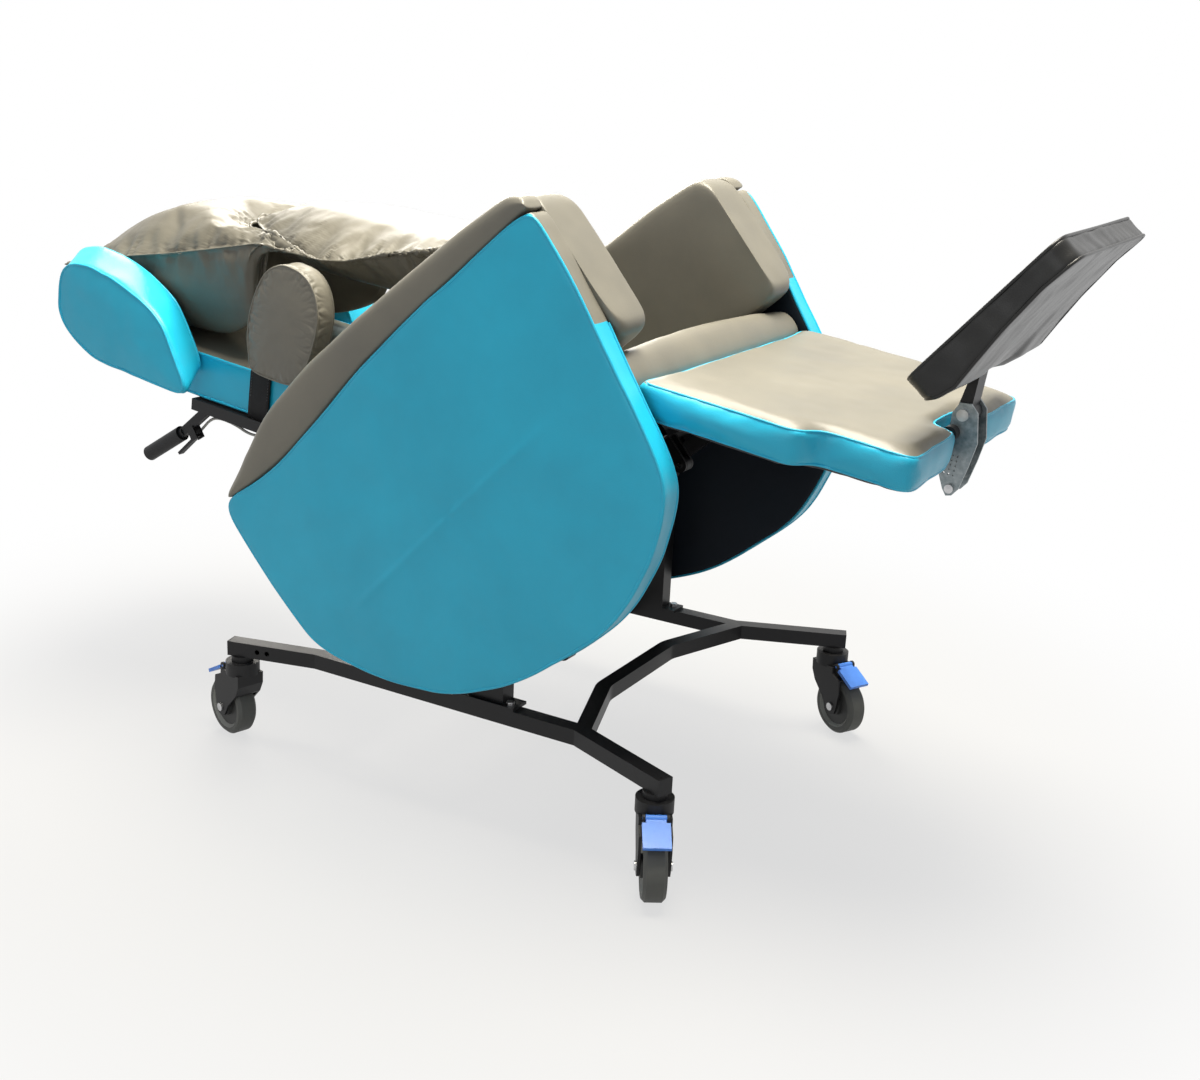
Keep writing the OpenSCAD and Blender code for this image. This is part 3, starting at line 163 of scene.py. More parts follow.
# Base frame
# Square steel tube, mitred and welded, with a black powder coat that shows a fine orange peel.
# The two boxed uprights are bolted on, and plastic caps close the ends of the legs.
def finish(name, dark, light, rough, patch, peel_scale, peel_depth, metal=0.0, rough_spread=0.08, kind="noise",
           gloss=0.5):
    """A finish with two close tones in patches, a fine relief and roughness that varies with it."""
    look = bpy.data.materials.new(name)
    look.use_nodes = True
    nodes, links = look.node_tree.nodes, look.node_tree.links
    body = nodes["Principled BSDF"]
    body.inputs["Metallic"].default_value = metal
    body.inputs["Specular IOR Level"].default_value = gloss
    spot = nodes.new("ShaderNodeTexCoord")
    tone = nodes.new("ShaderNodeTexNoise")
    tone.inputs["Scale"].default_value = patch
    tone.inputs["Detail"].default_value = 5.0
    tone.inputs["Roughness"].default_value = 0.62
    ramp = nodes.new("ShaderNodeValToRGB")
    ramp.color_ramp.elements[0].position = 0.32
    ramp.color_ramp.elements[1].position = 0.70
    ramp.color_ramp.elements[0].color = (*dark, 1)
    ramp.color_ramp.elements[1].color = (*light, 1)
    if kind == "cells":
        peel = nodes.new("ShaderNodeTexVoronoi")
        peel.feature = "SMOOTH_F1"
        peel.inputs["Smoothness"].default_value = 0.5
        height = peel.outputs["Distance"]
    else:
        peel = nodes.new("ShaderNodeTexNoise")
        peel.inputs["Detail"].default_value = 3.0
        height = peel.outputs["Fac"]
    peel.inputs["Scale"].default_value = peel_scale
    bump = nodes.new("ShaderNodeBump")
    bump.inputs["Strength"].default_value = 0.5
    bump.inputs["Distance"].default_value = peel_depth
    spread = nodes.new("ShaderNodeMapRange")
    spread.inputs["To Min"].default_value = rough - rough_spread
    spread.inputs["To Max"].default_value = rough + rough_spread
    links.new(spot.outputs["Object"], tone.inputs["Vector"])
    links.new(spot.outputs["Object"], peel.inputs["Vector"])
    links.new(tone.outputs["Fac"], ramp.inputs["Fac"])
    links.new(ramp.outputs["Color"], body.inputs["Base Color"])
    links.new(tone.outputs["Fac"], spread.inputs["Value"])
    links.new(spread.outputs["Result"], body.inputs["Roughness"])
    links.new(height, bump.inputs["Height"])
    links.new(bump.outputs["Normal"], body.inputs["Normal"])
    return look


def wear(piece, *looks):
    """Gives a piece these finishes and no other."""
    piece.data.materials.clear()
    for look in looks:
        piece.data.materials.append(look)


def wear_cad(node, look):
    """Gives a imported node's own object this finish."""
    wear(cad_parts[node], look)


powder_coat = finish("black_powder_coat", (0.006, 0.006, 0.007), (0.011, 0.011, 0.012), 0.40, 9, 900, 0.00012,
                     gloss=0.28)
for node in ("base_frame", "right_upright", "left_upright"):
    wear_cad(node, powder_coat)
moulded_black = finish("moulded_black_plastic", (0.007, 0.007, 0.008), (0.014, 0.014, 0.015), 0.50, 14, 1400,
                       0.0001, gloss=0.3)
wear_cad("tube_end_caps", moulded_black)
bolt_steel = finish("plated_bolt_steel", (0.42, 0.42, 0.43), (0.62, 0.62, 0.62), 0.34, 60, 1600, 0.00006,
                    metal=1.0)
for node in ("frame_bolts", "castor_stems", "base_pin"):
    wear_cad(node, bolt_steel)

# Castors
# Nylon forks and hoods in black, grey rubber tyres with a pale ring where they sit on the rim,
# and a bright blue brake pedal on each.
castor_stations = {"front_right": (-338.3, -537.3, 212), "front_left": (338.3, -537.3, 241),
                   "rear_right": (-305.6, 266.5, 74), "rear_left": (305.6, 266.5, 52)}
castor_trail, wheel_radius, rim_radius, bead_width, rubber_share = 0.034, 0.050, 0.034, 0.0045, 0.35


def rolled_rubber(corner):
    """Grey tyre rubber with a pale bead ring round a dark hub, by the distance from this wheel's axle."""
    x, y, turn = castor_stations[corner]
    look = finish(corner + "_tyre_and_hub", (0.055, 0.058, 0.053), (0.095, 0.099, 0.090), 0.62, 40, 900,
                  0.0002)
    nodes, links = look.node_tree.nodes, look.node_tree.links
    body = nodes["Principled BSDF"]
    tyre_colour = body.inputs["Base Color"].links[0].from_socket
    spot = nodes.new("ShaderNodeTexCoord")
    centred = nodes.new("ShaderNodeMapping")
    centred.vector_type = "TEXTURE"
    bearing = math.radians(turn)
    centred.inputs["Location"].default_value = (
        x / 1000 + chair_shift.x + castor_trail * math.cos(bearing),
        y / 1000 + chair_shift.y + castor_trail * math.sin(bearing), wheel_radius)
    centred.inputs["Rotation"].default_value = (0, 0, bearing)
    flat = nodes.new("ShaderNodeVectorMath")
    flat.operation = "MULTIPLY"
    flat.inputs[1].default_value = (1, 0, 1)
    reach = nodes.new("ShaderNodeVectorMath")
    reach.operation = "LENGTH"
    bands = nodes.new("ShaderNodeMapRange")
    bands.inputs["From Max"].default_value = wheel_radius
    tones = nodes.new("ShaderNodeValToRGB")
    tones.color_ramp.interpolation = "CONSTANT"
    stops = ((0.0, (0.02, 0.02, 0.022, 1)), (rim_radius / wheel_radius, (0.42, 0.43, 0.40, 1)),
             ((rim_radius + bead_width) / wheel_radius, (0.08, 0.083, 0.078, 1)))
    tones.color_ramp.elements[0].color = stops[0][1]
    tones.color_ramp.elements[1].position, tones.color_ramp.elements[1].color = stops[1]
    tones.color_ramp.elements.new(stops[2][0]).color = stops[2][1]
    blend = nodes.new("ShaderNodeMix")
    blend.data_type = "RGBA"
    blend.inputs["Factor"].default_value = rubber_share
    links.new(spot.outputs["Object"], centred.inputs["Vector"])
    links.new(centred.outputs["Vector"], flat.inputs[0])
    links.new(flat.outputs["Vector"], reach.inputs[0])
    links.new(reach.outputs["Value"], bands.inputs["Value"])
    links.new(bands.outputs["Result"], tones.inputs["Fac"])
    links.new(tones.outputs["Color"], blend.inputs["A"])
    links.new(tyre_colour, blend.inputs["B"])
    links.new(blend.outputs["Result"], body.inputs["Base Color"])
    return look


pedal_plastic = finish("blue_pedal_plastic", (0.060, 0.23, 0.80), (0.085, 0.30, 0.95), 0.40, 30, 1200, 0.0001)
for corner in castor_stations:
    wear_cad(corner + "_fork", moulded_black)
    wear_cad(corner + "_wheel", rolled_rubber(corner))
    wear_cad(corner + "_axle", bolt_steel)
    wear_cad(corner + "_pedal", pedal_plastic)

# Seat frame and gas struts
# The same black tube carries the seat pan; two gas struts with bright rods hold the tilt and the recline.
for node in ("seat_frame", "seat_pan", "back_frame", "legrest_frame", "footplate_hinge", "tilt_strut_tube",
             "back_strut_tube"):
    wear_cad(node, powder_coat)
rod_chrome = finish("chromed_rod", (0.60, 0.61, 0.62), (0.72, 0.72, 0.73), 0.16, 30, 1500, 0.00002, metal=1.0,
                    rough_spread=0.04)
for node in ("tilt_strut_rod", "back_strut_rod", "seat_pins", "back_pins"):
    wear_cad(node, rod_chrome)

# Seat cushion
# A deep foam block with a rolled front edge under stretch vinyl, drawn in a little at its sides.
def tipped(y, z, degrees):
    """A place this far along and above its parent's, turned about X."""
    return Matrix.Translation((0, y, z)) @ Matrix.Rotation(math.radians(degrees), 4, "X")


seat_place = Matrix.Translation(chair_shift) @ tipped(-0.205, 0.430, -40)


def along(points, count, closed=False):
    """Points spaced evenly on one smooth curve through these points."""
    loop = [Vector(p) for p in points]
    last = len(loop) if closed else len(loop) - 1
    fine = []
    for k in range(last):
        if closed:
            a, b, c, d = (loop[(k + s) % len(loop)] for s in (-1, 0, 1, 2))
        else:
            a, b, c, d = (loop[min(max(k + s, 0), len(loop) - 1)] for s in (-1, 0, 1, 2))
        for step in range(16):
            t = step / 16
            fine.append(0.5 * ((2 * b) + (c - a) * t + (2 * a - 5 * b + 4 * c - d) * t * t
                               + (3 * b - a - 3 * c + d) * t ** 3))
    fine.append(loop[0] if closed else loop[-1])
    reach = [0.0]
    for a, b in zip(fine, fine[1:]):
        reach.append(reach[-1] + (b - a).length)
    spots, k = [], 0
    for i in range(count):
        want = reach[-1] * i / (count if closed else count - 1)
        while k < len(fine) - 2 and reach[k + 1] < want:
            k += 1
        part = (want - reach[k]) / max(reach[k + 1] - reach[k], 1e-9)
        spots.append(fine[k].lerp(fine[k + 1], min(max(part, 0), 1)))
    return spots


def skin(name, rings, place, mirrored=False, flat_ends=False):
    """A closed mesh over rings of points in millimetres, with a pole or a flat lid at each end."""
    shape = bmesh.new()
    side = -1 if mirrored else 1
    rows = [[shape.verts.new((side * p[0], p[1], p[2])) for p in ring] for ring in rings]
    n = len(rows[0])
    for low, high in zip(rows, rows[1:]):
        for k in range(n):
            shape.faces.new((low[k], low[(k + 1) % n], high[(k + 1) % n], high[k]))
    for row in (rows[0], rows[-1]):
        if flat_ends:
            bmesh.ops.triangulate(shape, faces=[shape.faces.new(row)])
            continue
        pole = shape.verts.new(sum((v.co for v in row), Vector()) / n)
        for k in range(n):
            shape.faces.new((pole, row[k], row[(k + 1) % n]))
    bmesh.ops.recalc_face_normals(shape, faces=shape.faces)
    mesh = bpy.data.meshes.new(name)
    shape.to_mesh(mesh)
    shape.free()
    mesh.transform(place @ Matrix.Scale(0.001, 4))
    for face in mesh.polygons:
        face.use_smooth = True
    return set_out(name, mesh)


def apply_modifiers(piece):
    """Turns the piece with its modifiers into one plain mesh."""
    bpy.context.view_layer.update()
    graph = bpy.context.evaluated_depsgraph_get()
    mesh = bpy.data.meshes.new_from_object(piece.evaluated_get(graph))
    piece.modifiers.clear()
    piece.data = mesh
    for face in mesh.polygons:
        face.use_smooth = True


def subdivide(piece, levels):
    """Rounds the piece by this many levels."""
    smooth = piece.modifiers.new("rounding", "SUBSURF")
    smooth.levels = smooth.render_levels = levels
    apply_modifiers(piece)


def ruffle(piece, depth, pitch, seed, stretch=(1, 1, 1)):
    """Shallow dimples and creases of stretched vinyl, along the surface's own direction."""
    mesh = piece.data
    away = [v.normal.copy() for v in mesh.vertices]
    shift = Vector((seed * 7.3, seed * 3.1, 0))
    for v, out in zip(mesh.vertices, away):
        p = Vector([own * pull for own, pull in zip(v.co, stretch)]) / pitch + shift
        v.co += out * (depth * (noise.noise(p) + 0.5 * noise.noise(p * 2.3) - 0.3))


seam_smoothing = 6


def mark_seam(piece, spot, normal, index=None):
    """Cuts a seam into a cover along a plane, gives what lies beyond it a material, and returns the line."""
    shape = bmesh.new()
    shape.from_mesh(piece.data)
    cut = bmesh.ops.bisect_plane(shape, geom=shape.verts[:] + shape.edges[:] + shape.faces[:], dist=1e-6,
                                 plane_co=spot, plane_no=normal)
    if index is not None:
        for face in shape.faces:
            if (face.calc_center_median() - spot).dot(normal) > 0:
                face.material_index = index
    shape.verts.index_update()
    shape.verts.ensure_lookup_table()
    beside = {}
    for edge in cut["geom_cut"]:
        if isinstance(edge, bmesh.types.BMEdge):
            a, b = edge.verts
            beside.setdefault(a.index, []).append(b.index)
            beside.setdefault(b.index, []).append(a.index)
    lines, met = [], set()
    for first in sorted(beside):
        if first in met:
            continue
        walk = [first]
        met.add(first)
        while True:
            ahead_of = [k for k in sorted(beside[walk[-1]]) if k not in met]
            if not ahead_of:
                break
            walk.append(ahead_of[0])
            met.add(ahead_of[0])
        lines.append([shape.verts[k].co.copy() for k in walk])
    shape.to_mesh(piece.data)
    shape.free()
    line = max(lines, key=len)
    for _ in range(seam_smoothing):
        line = [line[k] * 0.5 + (line[k - 1] + line[(k + 1) % len(line)]) * 0.25 for k in range(len(line))]
    return line


def node_group(name, line, sizes, result):
    """An empty node tree that takes a line, these sizes and a finish, with its first and last node."""
    tree = bpy.data.node_groups.new(name, "GeometryNodeTree")
    sockets = tree.interface
    sockets.new_socket(line, in_out="INPUT", socket_type="NodeSocketGeometry")
    for label, kind, value in sizes:
        size = sockets.new_socket(label, in_out="INPUT", socket_type="NodeSocket" + kind)
        size.default_value = value
    sockets.new_socket("Finish", in_out="INPUT", socket_type="NodeSocketMaterial")
    sockets.new_socket(result, in_out="OUTPUT", socket_type="NodeSocketGeometry")
    return tree, tree.nodes.new("NodeGroupInput"), tree.nodes.new("NodeGroupOutput")


def welt_nodes():
    """Nodes that run a round cord along a seam line; its radius, its spacing and its finish are inputs."""
    tree, given, result = node_group("welt_along_seam", "Seam line",
                                     (("Radius", "Float", 0.0025), ("Spacing", "Float", 0.006)), "Welt")
    nodes, links = tree.nodes, tree.links
    line = nodes.new("GeometryNodeMeshToCurve")
    even = nodes.new("GeometryNodeResampleCurve")
    even.mode = "LENGTH"
    section = nodes.new("GeometryNodeCurvePrimitiveCircle")
    section.inputs["Resolution"].default_value = 8
    sweep = nodes.new("GeometryNodeCurveToMesh")
    dress = nodes.new("GeometryNodeSetMaterial")
    links.new(given.outputs["Seam line"], line.inputs["Mesh"])
    links.new(line.outputs["Curve"], even.inputs["Curve"])
    links.new(given.outputs["Spacing"], even.inputs["Length"])
    links.new(even.outputs["Curve"], sweep.inputs["Curve"])
    links.new(given.outputs["Radius"], section.inputs["Radius"])
    links.new(section.outputs["Curve"], sweep.inputs["Profile Curve"])
    links.new(sweep.outputs["Mesh"], dress.inputs["Geometry"])
    links.new(given.outputs["Finish"], dress.inputs["Material"])
    links.new(dress.outputs["Geometry"], result.inputs["Welt"])
    return tree


def stitch_nodes():
    """Nodes that lay short thread stitches along a line, at a pitch."""
    sizes = (("Pitch", "Float", 0.005), ("Stitch", "Vector", (0.0005, 0.0005, 0.0017)))
    tree, given, result = node_group("stitches_along_line", "Line", sizes, "Stitches")
    nodes, links = tree.nodes, tree.links
    line = nodes.new("GeometryNodeMeshToCurve")
    spots = nodes.new("GeometryNodeCurveToPoints")
    spots.mode = "LENGTH"
    thread = nodes.new("GeometryNodeMeshIcoSphere")
    thread.inputs["Subdivisions"].default_value = 2
    lay = nodes.new("GeometryNodeInstanceOnPoints")
    real = nodes.new("GeometryNodeRealizeInstances")
    dress = nodes.new("GeometryNodeSetMaterial")
    links.new(given.outputs["Line"], line.inputs["Mesh"])
    links.new(line.outputs["Curve"], spots.inputs["Curve"])
    links.new(given.outputs["Pitch"], spots.inputs["Length"])
    links.new(spots.outputs["Points"], lay.inputs["Points"])
    links.new(spots.outputs["Rotation"], lay.inputs["Rotation"])
    links.new(thread.outputs["Mesh"], lay.inputs["Instance"])
    links.new(given.outputs["Stitch"], lay.inputs["Scale"])
    links.new(lay.outputs["Instances"], real.inputs["Geometry"])
    links.new(real.outputs["Geometry"], dress.inputs["Geometry"])
    links.new(given.outputs["Finish"], dress.inputs["Material"])
    links.new(dress.outputs["Geometry"], result.inputs["Stitches"])
    return tree


def follow(name, points, tree, closed=True, **sizes):
    """Runs one of these node trees along a line of points and keeps the result as a plain mesh."""
    line = bpy.data.meshes.new(name)
    n = len(points)
    line.from_pydata(points, [(k, (k + 1) % n) for k in range(n if closed else n - 1)], [])
    piece = set_out(name, line)
    maker = piece.modifiers.new("maker", "NODES")
    maker.node_group = tree
    for item in tree.interface.items_tree:
        if item.item_type == "SOCKET" and item.in_out == "INPUT" and item.name in sizes:
            maker[item.identifier] = sizes[item.name]
    apply_modifiers(piece)
    shape = bmesh.new()
    shape.from_mesh(piece.data)
    bmesh.ops.recalc_face_normals(shape, faces=shape.faces)
    shape.to_mesh(piece.data)
    shape.free()
    return piece


welt = welt_nodes()
stitches = stitch_nodes()
vinyl_grain = 700
taupe_vinyl = finish("taupe_stretch_vinyl", (0.155, 0.148, 0.124), (0.200, 0.188, 0.152), 0.42, 5, vinyl_grain,
                     0.0002, kind="cells")
seat_rows = [
    (-366, 80, 80), (-364, 97, 66), (-357, 107, 54), (-345, 113, 46), (-328, 117, 40), (-300, 113, 35),
    (-250, 107, 35), (-200, 104, 35), (-120, 103, 35), (-40, 104, 35), (0, 104, 35), (28, 100, 35),
    (38, 94, 38), (42, 88, 60)
]
seat_cuts, seat_half, seat_crown, side_pinch = 24, 291, 14, 5
rings = []
for k in range(seat_cuts + 1):
    u = -math.cos(math.pi * k / seat_cuts)
    half = seat_half * u
    crown = seat_crown * (1 - u * u)
    pinch = 0 if abs(u) < 0.999 else side_pinch
    ring = [Vector((half, y, z + crown - pinch)) for y, z, low in seat_rows]
    ring += [Vector((half, y, low + (pinch if low < z else 0))) for y, z, low in reversed(seat_rows[1:-1])]
    rings.append(ring)
seat_cover = skin("seat_cushion_cover", rings, seat_place)
subdivide(seat_cover, 1)
ruffle(seat_cover, depth=0.0012, pitch=0.06, seed=1)
wear(seat_cover, taupe_vinyl)
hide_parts("seat_cushion")
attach(seat_cover, "seat")


# Side panels
# Each is a foam-padded board under teal vinyl: a face panel, a boxing strip round its edge and a piped seam
# on both sides of that strip. The inner face has a dark lining, and the strip's upper front is grey.
boxing_pull = 1.0


def padded_slab(inner, outer, x_in, x_out, edge, crown_in, crown_out):
    """Rings of a padded slab between an inner and an outer outline, with rolled edges and crowned faces."""
    def centre(line):
        return Vector(((max(p[0] for p in line) + min(p[0] for p in line)) / 2,
                       (max(p[1] for p in line) + min(p[1] for p in line)) / 2))

    def ring(line, middle, x, inset, share):
        spots = []
        for p in line:
            arm = p - middle
            q = middle + arm.normalized() * (arm.length - inset) * share
            spots.append(Vector((x, q.x, q.y)))
        return spots
    mid_in, mid_out = centre(inner), centre(outer)
    across = 1 if x_out > x_in else -1
    steps = (0.05, 0.15, 0.3, 0.45, 0.6, 0.72, 0.82, 0.9, 0.96)
    rings = [ring(inner, mid_in, x_in - across * crown_in * (1 - r ** 2.4), edge, r) for r in steps]
    for a in (0, 30, 60, 90):
        s, c = math.sin(math.radians(a)), math.cos(math.radians(a))
        rings.append(ring(inner, mid_in, x_in + across * edge * (1 - c), edge * (1 - s), 1))
    for t in (0.33, 0.67):
        line = [(1 - t) * p + t * q for p, q in zip(inner, outer)]
        middle = (1 - t) * mid_in + t * mid_out
        x = x_in + across * (edge + t * (abs(x_out - x_in) - 2 * edge))
        rings.append(ring(line, middle, x, boxing_pull, 1))
    for a in (90, 60, 30, 0):
        s, c = math.sin(math.radians(a)), math.cos(math.radians(a))
        rings.append(ring(outer, mid_out, x_out - across * edge * (1 - c), edge * (1 - s), 1))
    rings += [ring(outer, mid_out, x_out + across * crown_out * (1 - r ** 2.4), edge, r)
              for r in reversed(steps)]
    return rings


teal_vinyl = finish("teal_stretch_vinyl", (0.010, 0.430, 0.660), (0.016, 0.510, 0.770), 0.38, 4, vinyl_grain,
                    0.00022, kind="cells")
lining = finish("dark_lining", (0.003, 0.006, 0.011), (0.006, 0.011, 0.018), 0.6, 8, 800, 0.0002, gloss=0.2)
panel_top = along([(-398, 326), (-345, 328), (-185, 325), (-83, 321), (10, 312), (105, 300), (207, 288),
                   (275, 288), (330, 294), (350, 297)], 46)
panel_low = along([(350, 297), (363, 284), (366, 252), (363, 170), (355, 72), (342, 20), (290, -52),
                   (213, -121), (157, -158), (60, -192), (-46, -204), (-158, -200), (-242, -169),
                   (-292, -140), (-336, -102), (-352, -76), (-362, -43), (-369, 4), (-377, 70),
                   (-385, 127), (-393, 188), (-398, 246), (-400, 300), (-398, 326)], 130)
panel_line = panel_top + panel_low[1:-1]
panel_edge, panel_out, panel_in, seam_inset = 6.0, 343.5, 300.5, 3.0
crease_start, crease_end = Vector((260, 29)), Vector((-231, 79))
crease_width, crease_height, crease_rise, crease_run, crease_fall = 7, 0.0016, 60, 520, 90
nose_hem, nose_back, nose_cut = 150, -340, -345
sides = (("right", True), ("left", False))
back_to_seat = seat_place.inverted()
along_crease = (crease_end - crease_start).normalized()


def seam_plane(place, axis, value, mirrored=False):
    """A point and a direction of a seam plane, at so many millimetres along one axis of a piece's frame."""
    side = -1 if mirrored and axis == 0 else 1
    spot, away = Vector((0, 0, 0)), Vector((0, 0, 0))
    spot[axis], away[axis] = side * value / 1000, side
    return place @ spot, (place.to_3x3() @ away).normalized()


for side, mirrored in sides:
    rings = padded_slab(panel_line, panel_line, panel_in, panel_out, panel_edge, crown_in=0, crown_out=5)
    panel = skin(side + "_panel_cover", rings, seat_place, mirrored)
    wear(panel, teal_vinyl, lining, taupe_vinyl)
    subdivide(panel, 1)
    ruffle(panel, depth=0.0016, pitch=0.09, seed=2 if mirrored else 3)
    outward = seat_place.to_3x3() @ Vector((-1 if mirrored else 1, 0, 0))
    for v in panel.data.vertices:
        own = back_to_seat @ v.co * 1000
        if abs(own.x) > panel_out - 2:
            offset = Vector((own.y, own.z)) - crease_start
            run = offset.dot(along_crease)
            across = abs(offset.x * along_crease.y - offset.y * along_crease.x)
            fade = min(max(run / crease_rise, 0), 1) * min(max((crease_run - run) / crease_fall, 0), 1)
            v.co += outward * crease_height * fade * math.exp(-(across / crease_width) ** 2)
    mark_seam(panel, *seam_plane(seat_place, 2, nose_hem))
    spot, away = seam_plane(seat_place, 0, panel_in + seam_inset, mirrored)
    inner_line = mark_seam(panel, spot, -away, 1)
    spot, away = seam_plane(seat_place, 0, panel_out - seam_inset, mirrored)
    outer_line = mark_seam(panel, spot, away)
    for face in panel.data.polygons:
        own = back_to_seat @ face.center * 1000
        on_strip = panel_in + seam_inset < abs(own.x) < panel_out - seam_inset
        if on_strip and own.y < nose_back and own.z > nose_hem:
            face.material_index = 2
    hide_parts(side + "_side_panel")
    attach(panel, "seat")
    on_nose = [own.y < nose_cut and own.z > nose_hem for own in (back_to_seat @ p * 1000 for p in inner_line)]
    first = max(k for k in range(len(on_nose)) if on_nose[k] and not on_nose[(k + 1) % len(on_nose)]) + 1
    turned = zip(inner_line[first:] + inner_line[:first], on_nose[first:] + on_nose[:first])
    inner_line = [p for p, cut in turned if not cut]
    for edge_name, line in (("outer", outer_line), ("inner", inner_line)):
        seam = follow(side + "_panel_welt_" + edge_name, line, welt, closed=edge_name == "outer",
                      Radius=0.0026, Finish=teal_vinyl)
        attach(seam, "seat")

# Armrests
# A grey vinyl cover wraps the top of each panel from end to end, and a deep foam pad is fixed inside it.
# The two halves meet in a fold along the top.
cap_rows = [
    (-397, 341, 328), (-394, 350, 328), (-386, 358, 328), (-376, 364, 328), (-350, 368, 328), (-285, 373, 326),
    (-185, 377, 325), (-85, 379, 321), (-20, 380, 317), (65, 379, 306), (165, 371, 291), (218, 358, 287),
    (281, 334, 289), (315, 321, 292), (340, 309, 295), (349, 302, 297)
]
cap_in, cap_mid, cap_out, cap_round, cap_bulge = 301, 322, 343.5, 12, 1.5
for side, mirrored in sides:
    rings = []
    for y, z, low in cap_rows:
        r = min(cap_round, (z - low) * 0.45)
        half_way = (low + z) / 2
        loop = [(cap_in, low), (cap_in, half_way), (cap_in, z - 3), (cap_in + 1.5, z - 0.5), (cap_in + 7, z)]
        loop += [(cap_mid, z + cap_bulge), (cap_out - r, z), (cap_out - r * 0.35, z - r * 0.3)]
        loop += [(cap_out, z - r), (cap_out + cap_bulge, half_way), (cap_out, low), (cap_mid, low)]
        rings.append([Vector((x, y, h)) for x, h in loop])
    cap = skin(side + "_armrest_cover", rings, seat_place, mirrored)
    wear(cap, taupe_vinyl)
    subdivide(cap, 2)
    ruffle(cap, depth=0.0009, pitch=0.05, seed=4)
    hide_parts(side + "_arm_cap")
    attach(cap, "seat")

arm_rows = [
    (-399, 320, 150), (-398, 335, 140), (-394, 346, 132), (-387, 356, 126), (-376, 363, 123), (-350, 368, 122),
    (-285, 373, 122), (-185, 376, 122), (-85, 378, 122), (-20, 379, 122), (30, 379, 122), (48, 377, 123),
    (54, 372, 128)
]
arm_in, arm_out, arm_front_out, arm_front, arm_round = 214, 299.5, 307, -386, 16
for side, mirrored in sides:
    rings = []
    for y, z, low in arm_rows:
        reach = arm_front_out if y < arm_front else arm_out
        half_way = (low + z) / 2
        loop = [(reach, low), (reach, half_way), (reach, z - 4), (reach - 7, z), (258, z + 1)]
        loop += [(arm_in + arm_round, z), (arm_in + arm_round * 0.3, z - arm_round * 0.3)]
        loop += [(arm_in, z - arm_round), (arm_in - 1, half_way), (arm_in, low + 12), (arm_in + 4, low + 3)]
        loop += [(arm_in + 14, low), (262, low)]
        rings.append([Vector((x, y, h)) for x, h in loop])
    pad = skin(side + "_armrest_pad", rings, seat_place, mirrored)
    wear(pad, taupe_vinyl)
    subdivide(pad, 2)
    ruffle(pad, depth=0.0012, pitch=0.07, seed=5)
    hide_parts(side + "_arm_pad")
    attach(pad, "seat")

# Backrest pad and strap
# A boxed foam pad with teal sides, a taupe top and a dark underside, piped round both edges.
# A black woven strap with stitched edges goes round it and holds the trunk supports.
back_place = seat_place @ tipped(0.074, 0.114, 47)


def rounded_box(x0, x1, y0, y1, radius, spacing):
    """Points round a rectangle with rounded corners, at about this spacing."""
    corners = []
    for cx, cy, start in ((x1 - radius, y1 - radius, 0), (x0 + radius, y1 - radius, 90),
                          (x0 + radius, y0 + radius, 180), (x1 - radius, y0 + radius, 270)):
        for a in (0, 22.5, 45, 67.5, 90):
            turn = math.radians(start + a)
            corners.append(Vector((cx + radius * math.cos(turn), cy + radius * math.sin(turn))))
    spots = []
    for a, b in zip(corners, corners[1:] + corners[:1]):
        parts = max(1, round((b - a).length / spacing))
        spots += [a.lerp(b, i / parts) for i in range(parts)]
    return spots


# Lays a slab's rings flat, with their thickness upwards.
flat_on_z = Matrix(((0, 1, 0, 0), (0, 0, 1, 0), (1, 0, 0, 0), (0, 0, 0, 1)))
pad_line = rounded_box(-201, 201, 13, 797, radius=16, spacing=14)
rings = padded_slab(pad_line, pad_line, x_in=12.5, x_out=92, edge=7, crown_in=0, crown_out=7)
back_cover = skin("backrest_pad_cover", rings, back_place @ flat_on_z)
wear(back_cover, taupe_vinyl, teal_vinyl, lining)
subdivide(back_cover, 1)
ruffle(back_cover, depth=0.0012, pitch=0.08, seed=6)
back_top_seam, back_under_seam = 89, 16
spot, away = seam_plane(back_place, 2, back_top_seam)
top_line = mark_seam(back_cover, spot, -away, 1)
spot, away = seam_plane(back_place, 2, back_under_seam)
under_line = mark_seam(back_cover, spot, -away, 2)
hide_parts("backrest_pad")
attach(back_cover, "backrest")
for edge_name, line in (("upper", top_line), ("lower", under_line)):
    seam = follow("backrest_welt_" + edge_name, line, welt, Radius=0.0024, Finish=teal_vinyl)
    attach(seam, "backrest")

webbing = finish("black_webbing", (0.005, 0.005, 0.006), (0.014, 0.014, 0.015), 0.70, 60, 900, 0.0004,
                 gloss=0.25)
strap_loop = [(-204.2, 11), (-204.2, 50), (-204.2, 90), (-199, 97), (-150, 101), (0, 102.5),
              (150, 101), (199, 97), (204.2, 90), (204.2, 50), (204.2, 11), (0, 10.9)]
rings = [[Vector((x, y, z)) for x, z in strap_loop] for y in (373, 380, 395, 410, 417)]
strap_mesh = bpy.data.meshes.new("backrest_strap")
count = len(strap_loop)
faces = [(r * count + k, r * count + (k + 1) % count, (r + 1) * count + (k + 1) % count, (r + 1) * count + k)
         for r in range(len(rings) - 1) for k in range(count)]
strap_mesh.from_pydata([p for ring in rings for p in ring], [], faces)
strap_mesh.transform(back_place @ Matrix.Scale(0.001, 4))
strap = set_out("backrest_strap", strap_mesh)
wall = strap.modifiers.new("webbing", "SOLIDIFY")
wall.thickness = 0.0015
wall.offset = 1.0
apply_modifiers(strap)
wear(strap, webbing)
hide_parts("back_strap")
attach(strap, "backrest")
thread = finish("grey_thread", (0.05, 0.05, 0.05), (0.09, 0.09, 0.09), 0.6, 90, 1500, 0.00005)
wider, lift, strap_bend = 1.0088, 1.6, 200
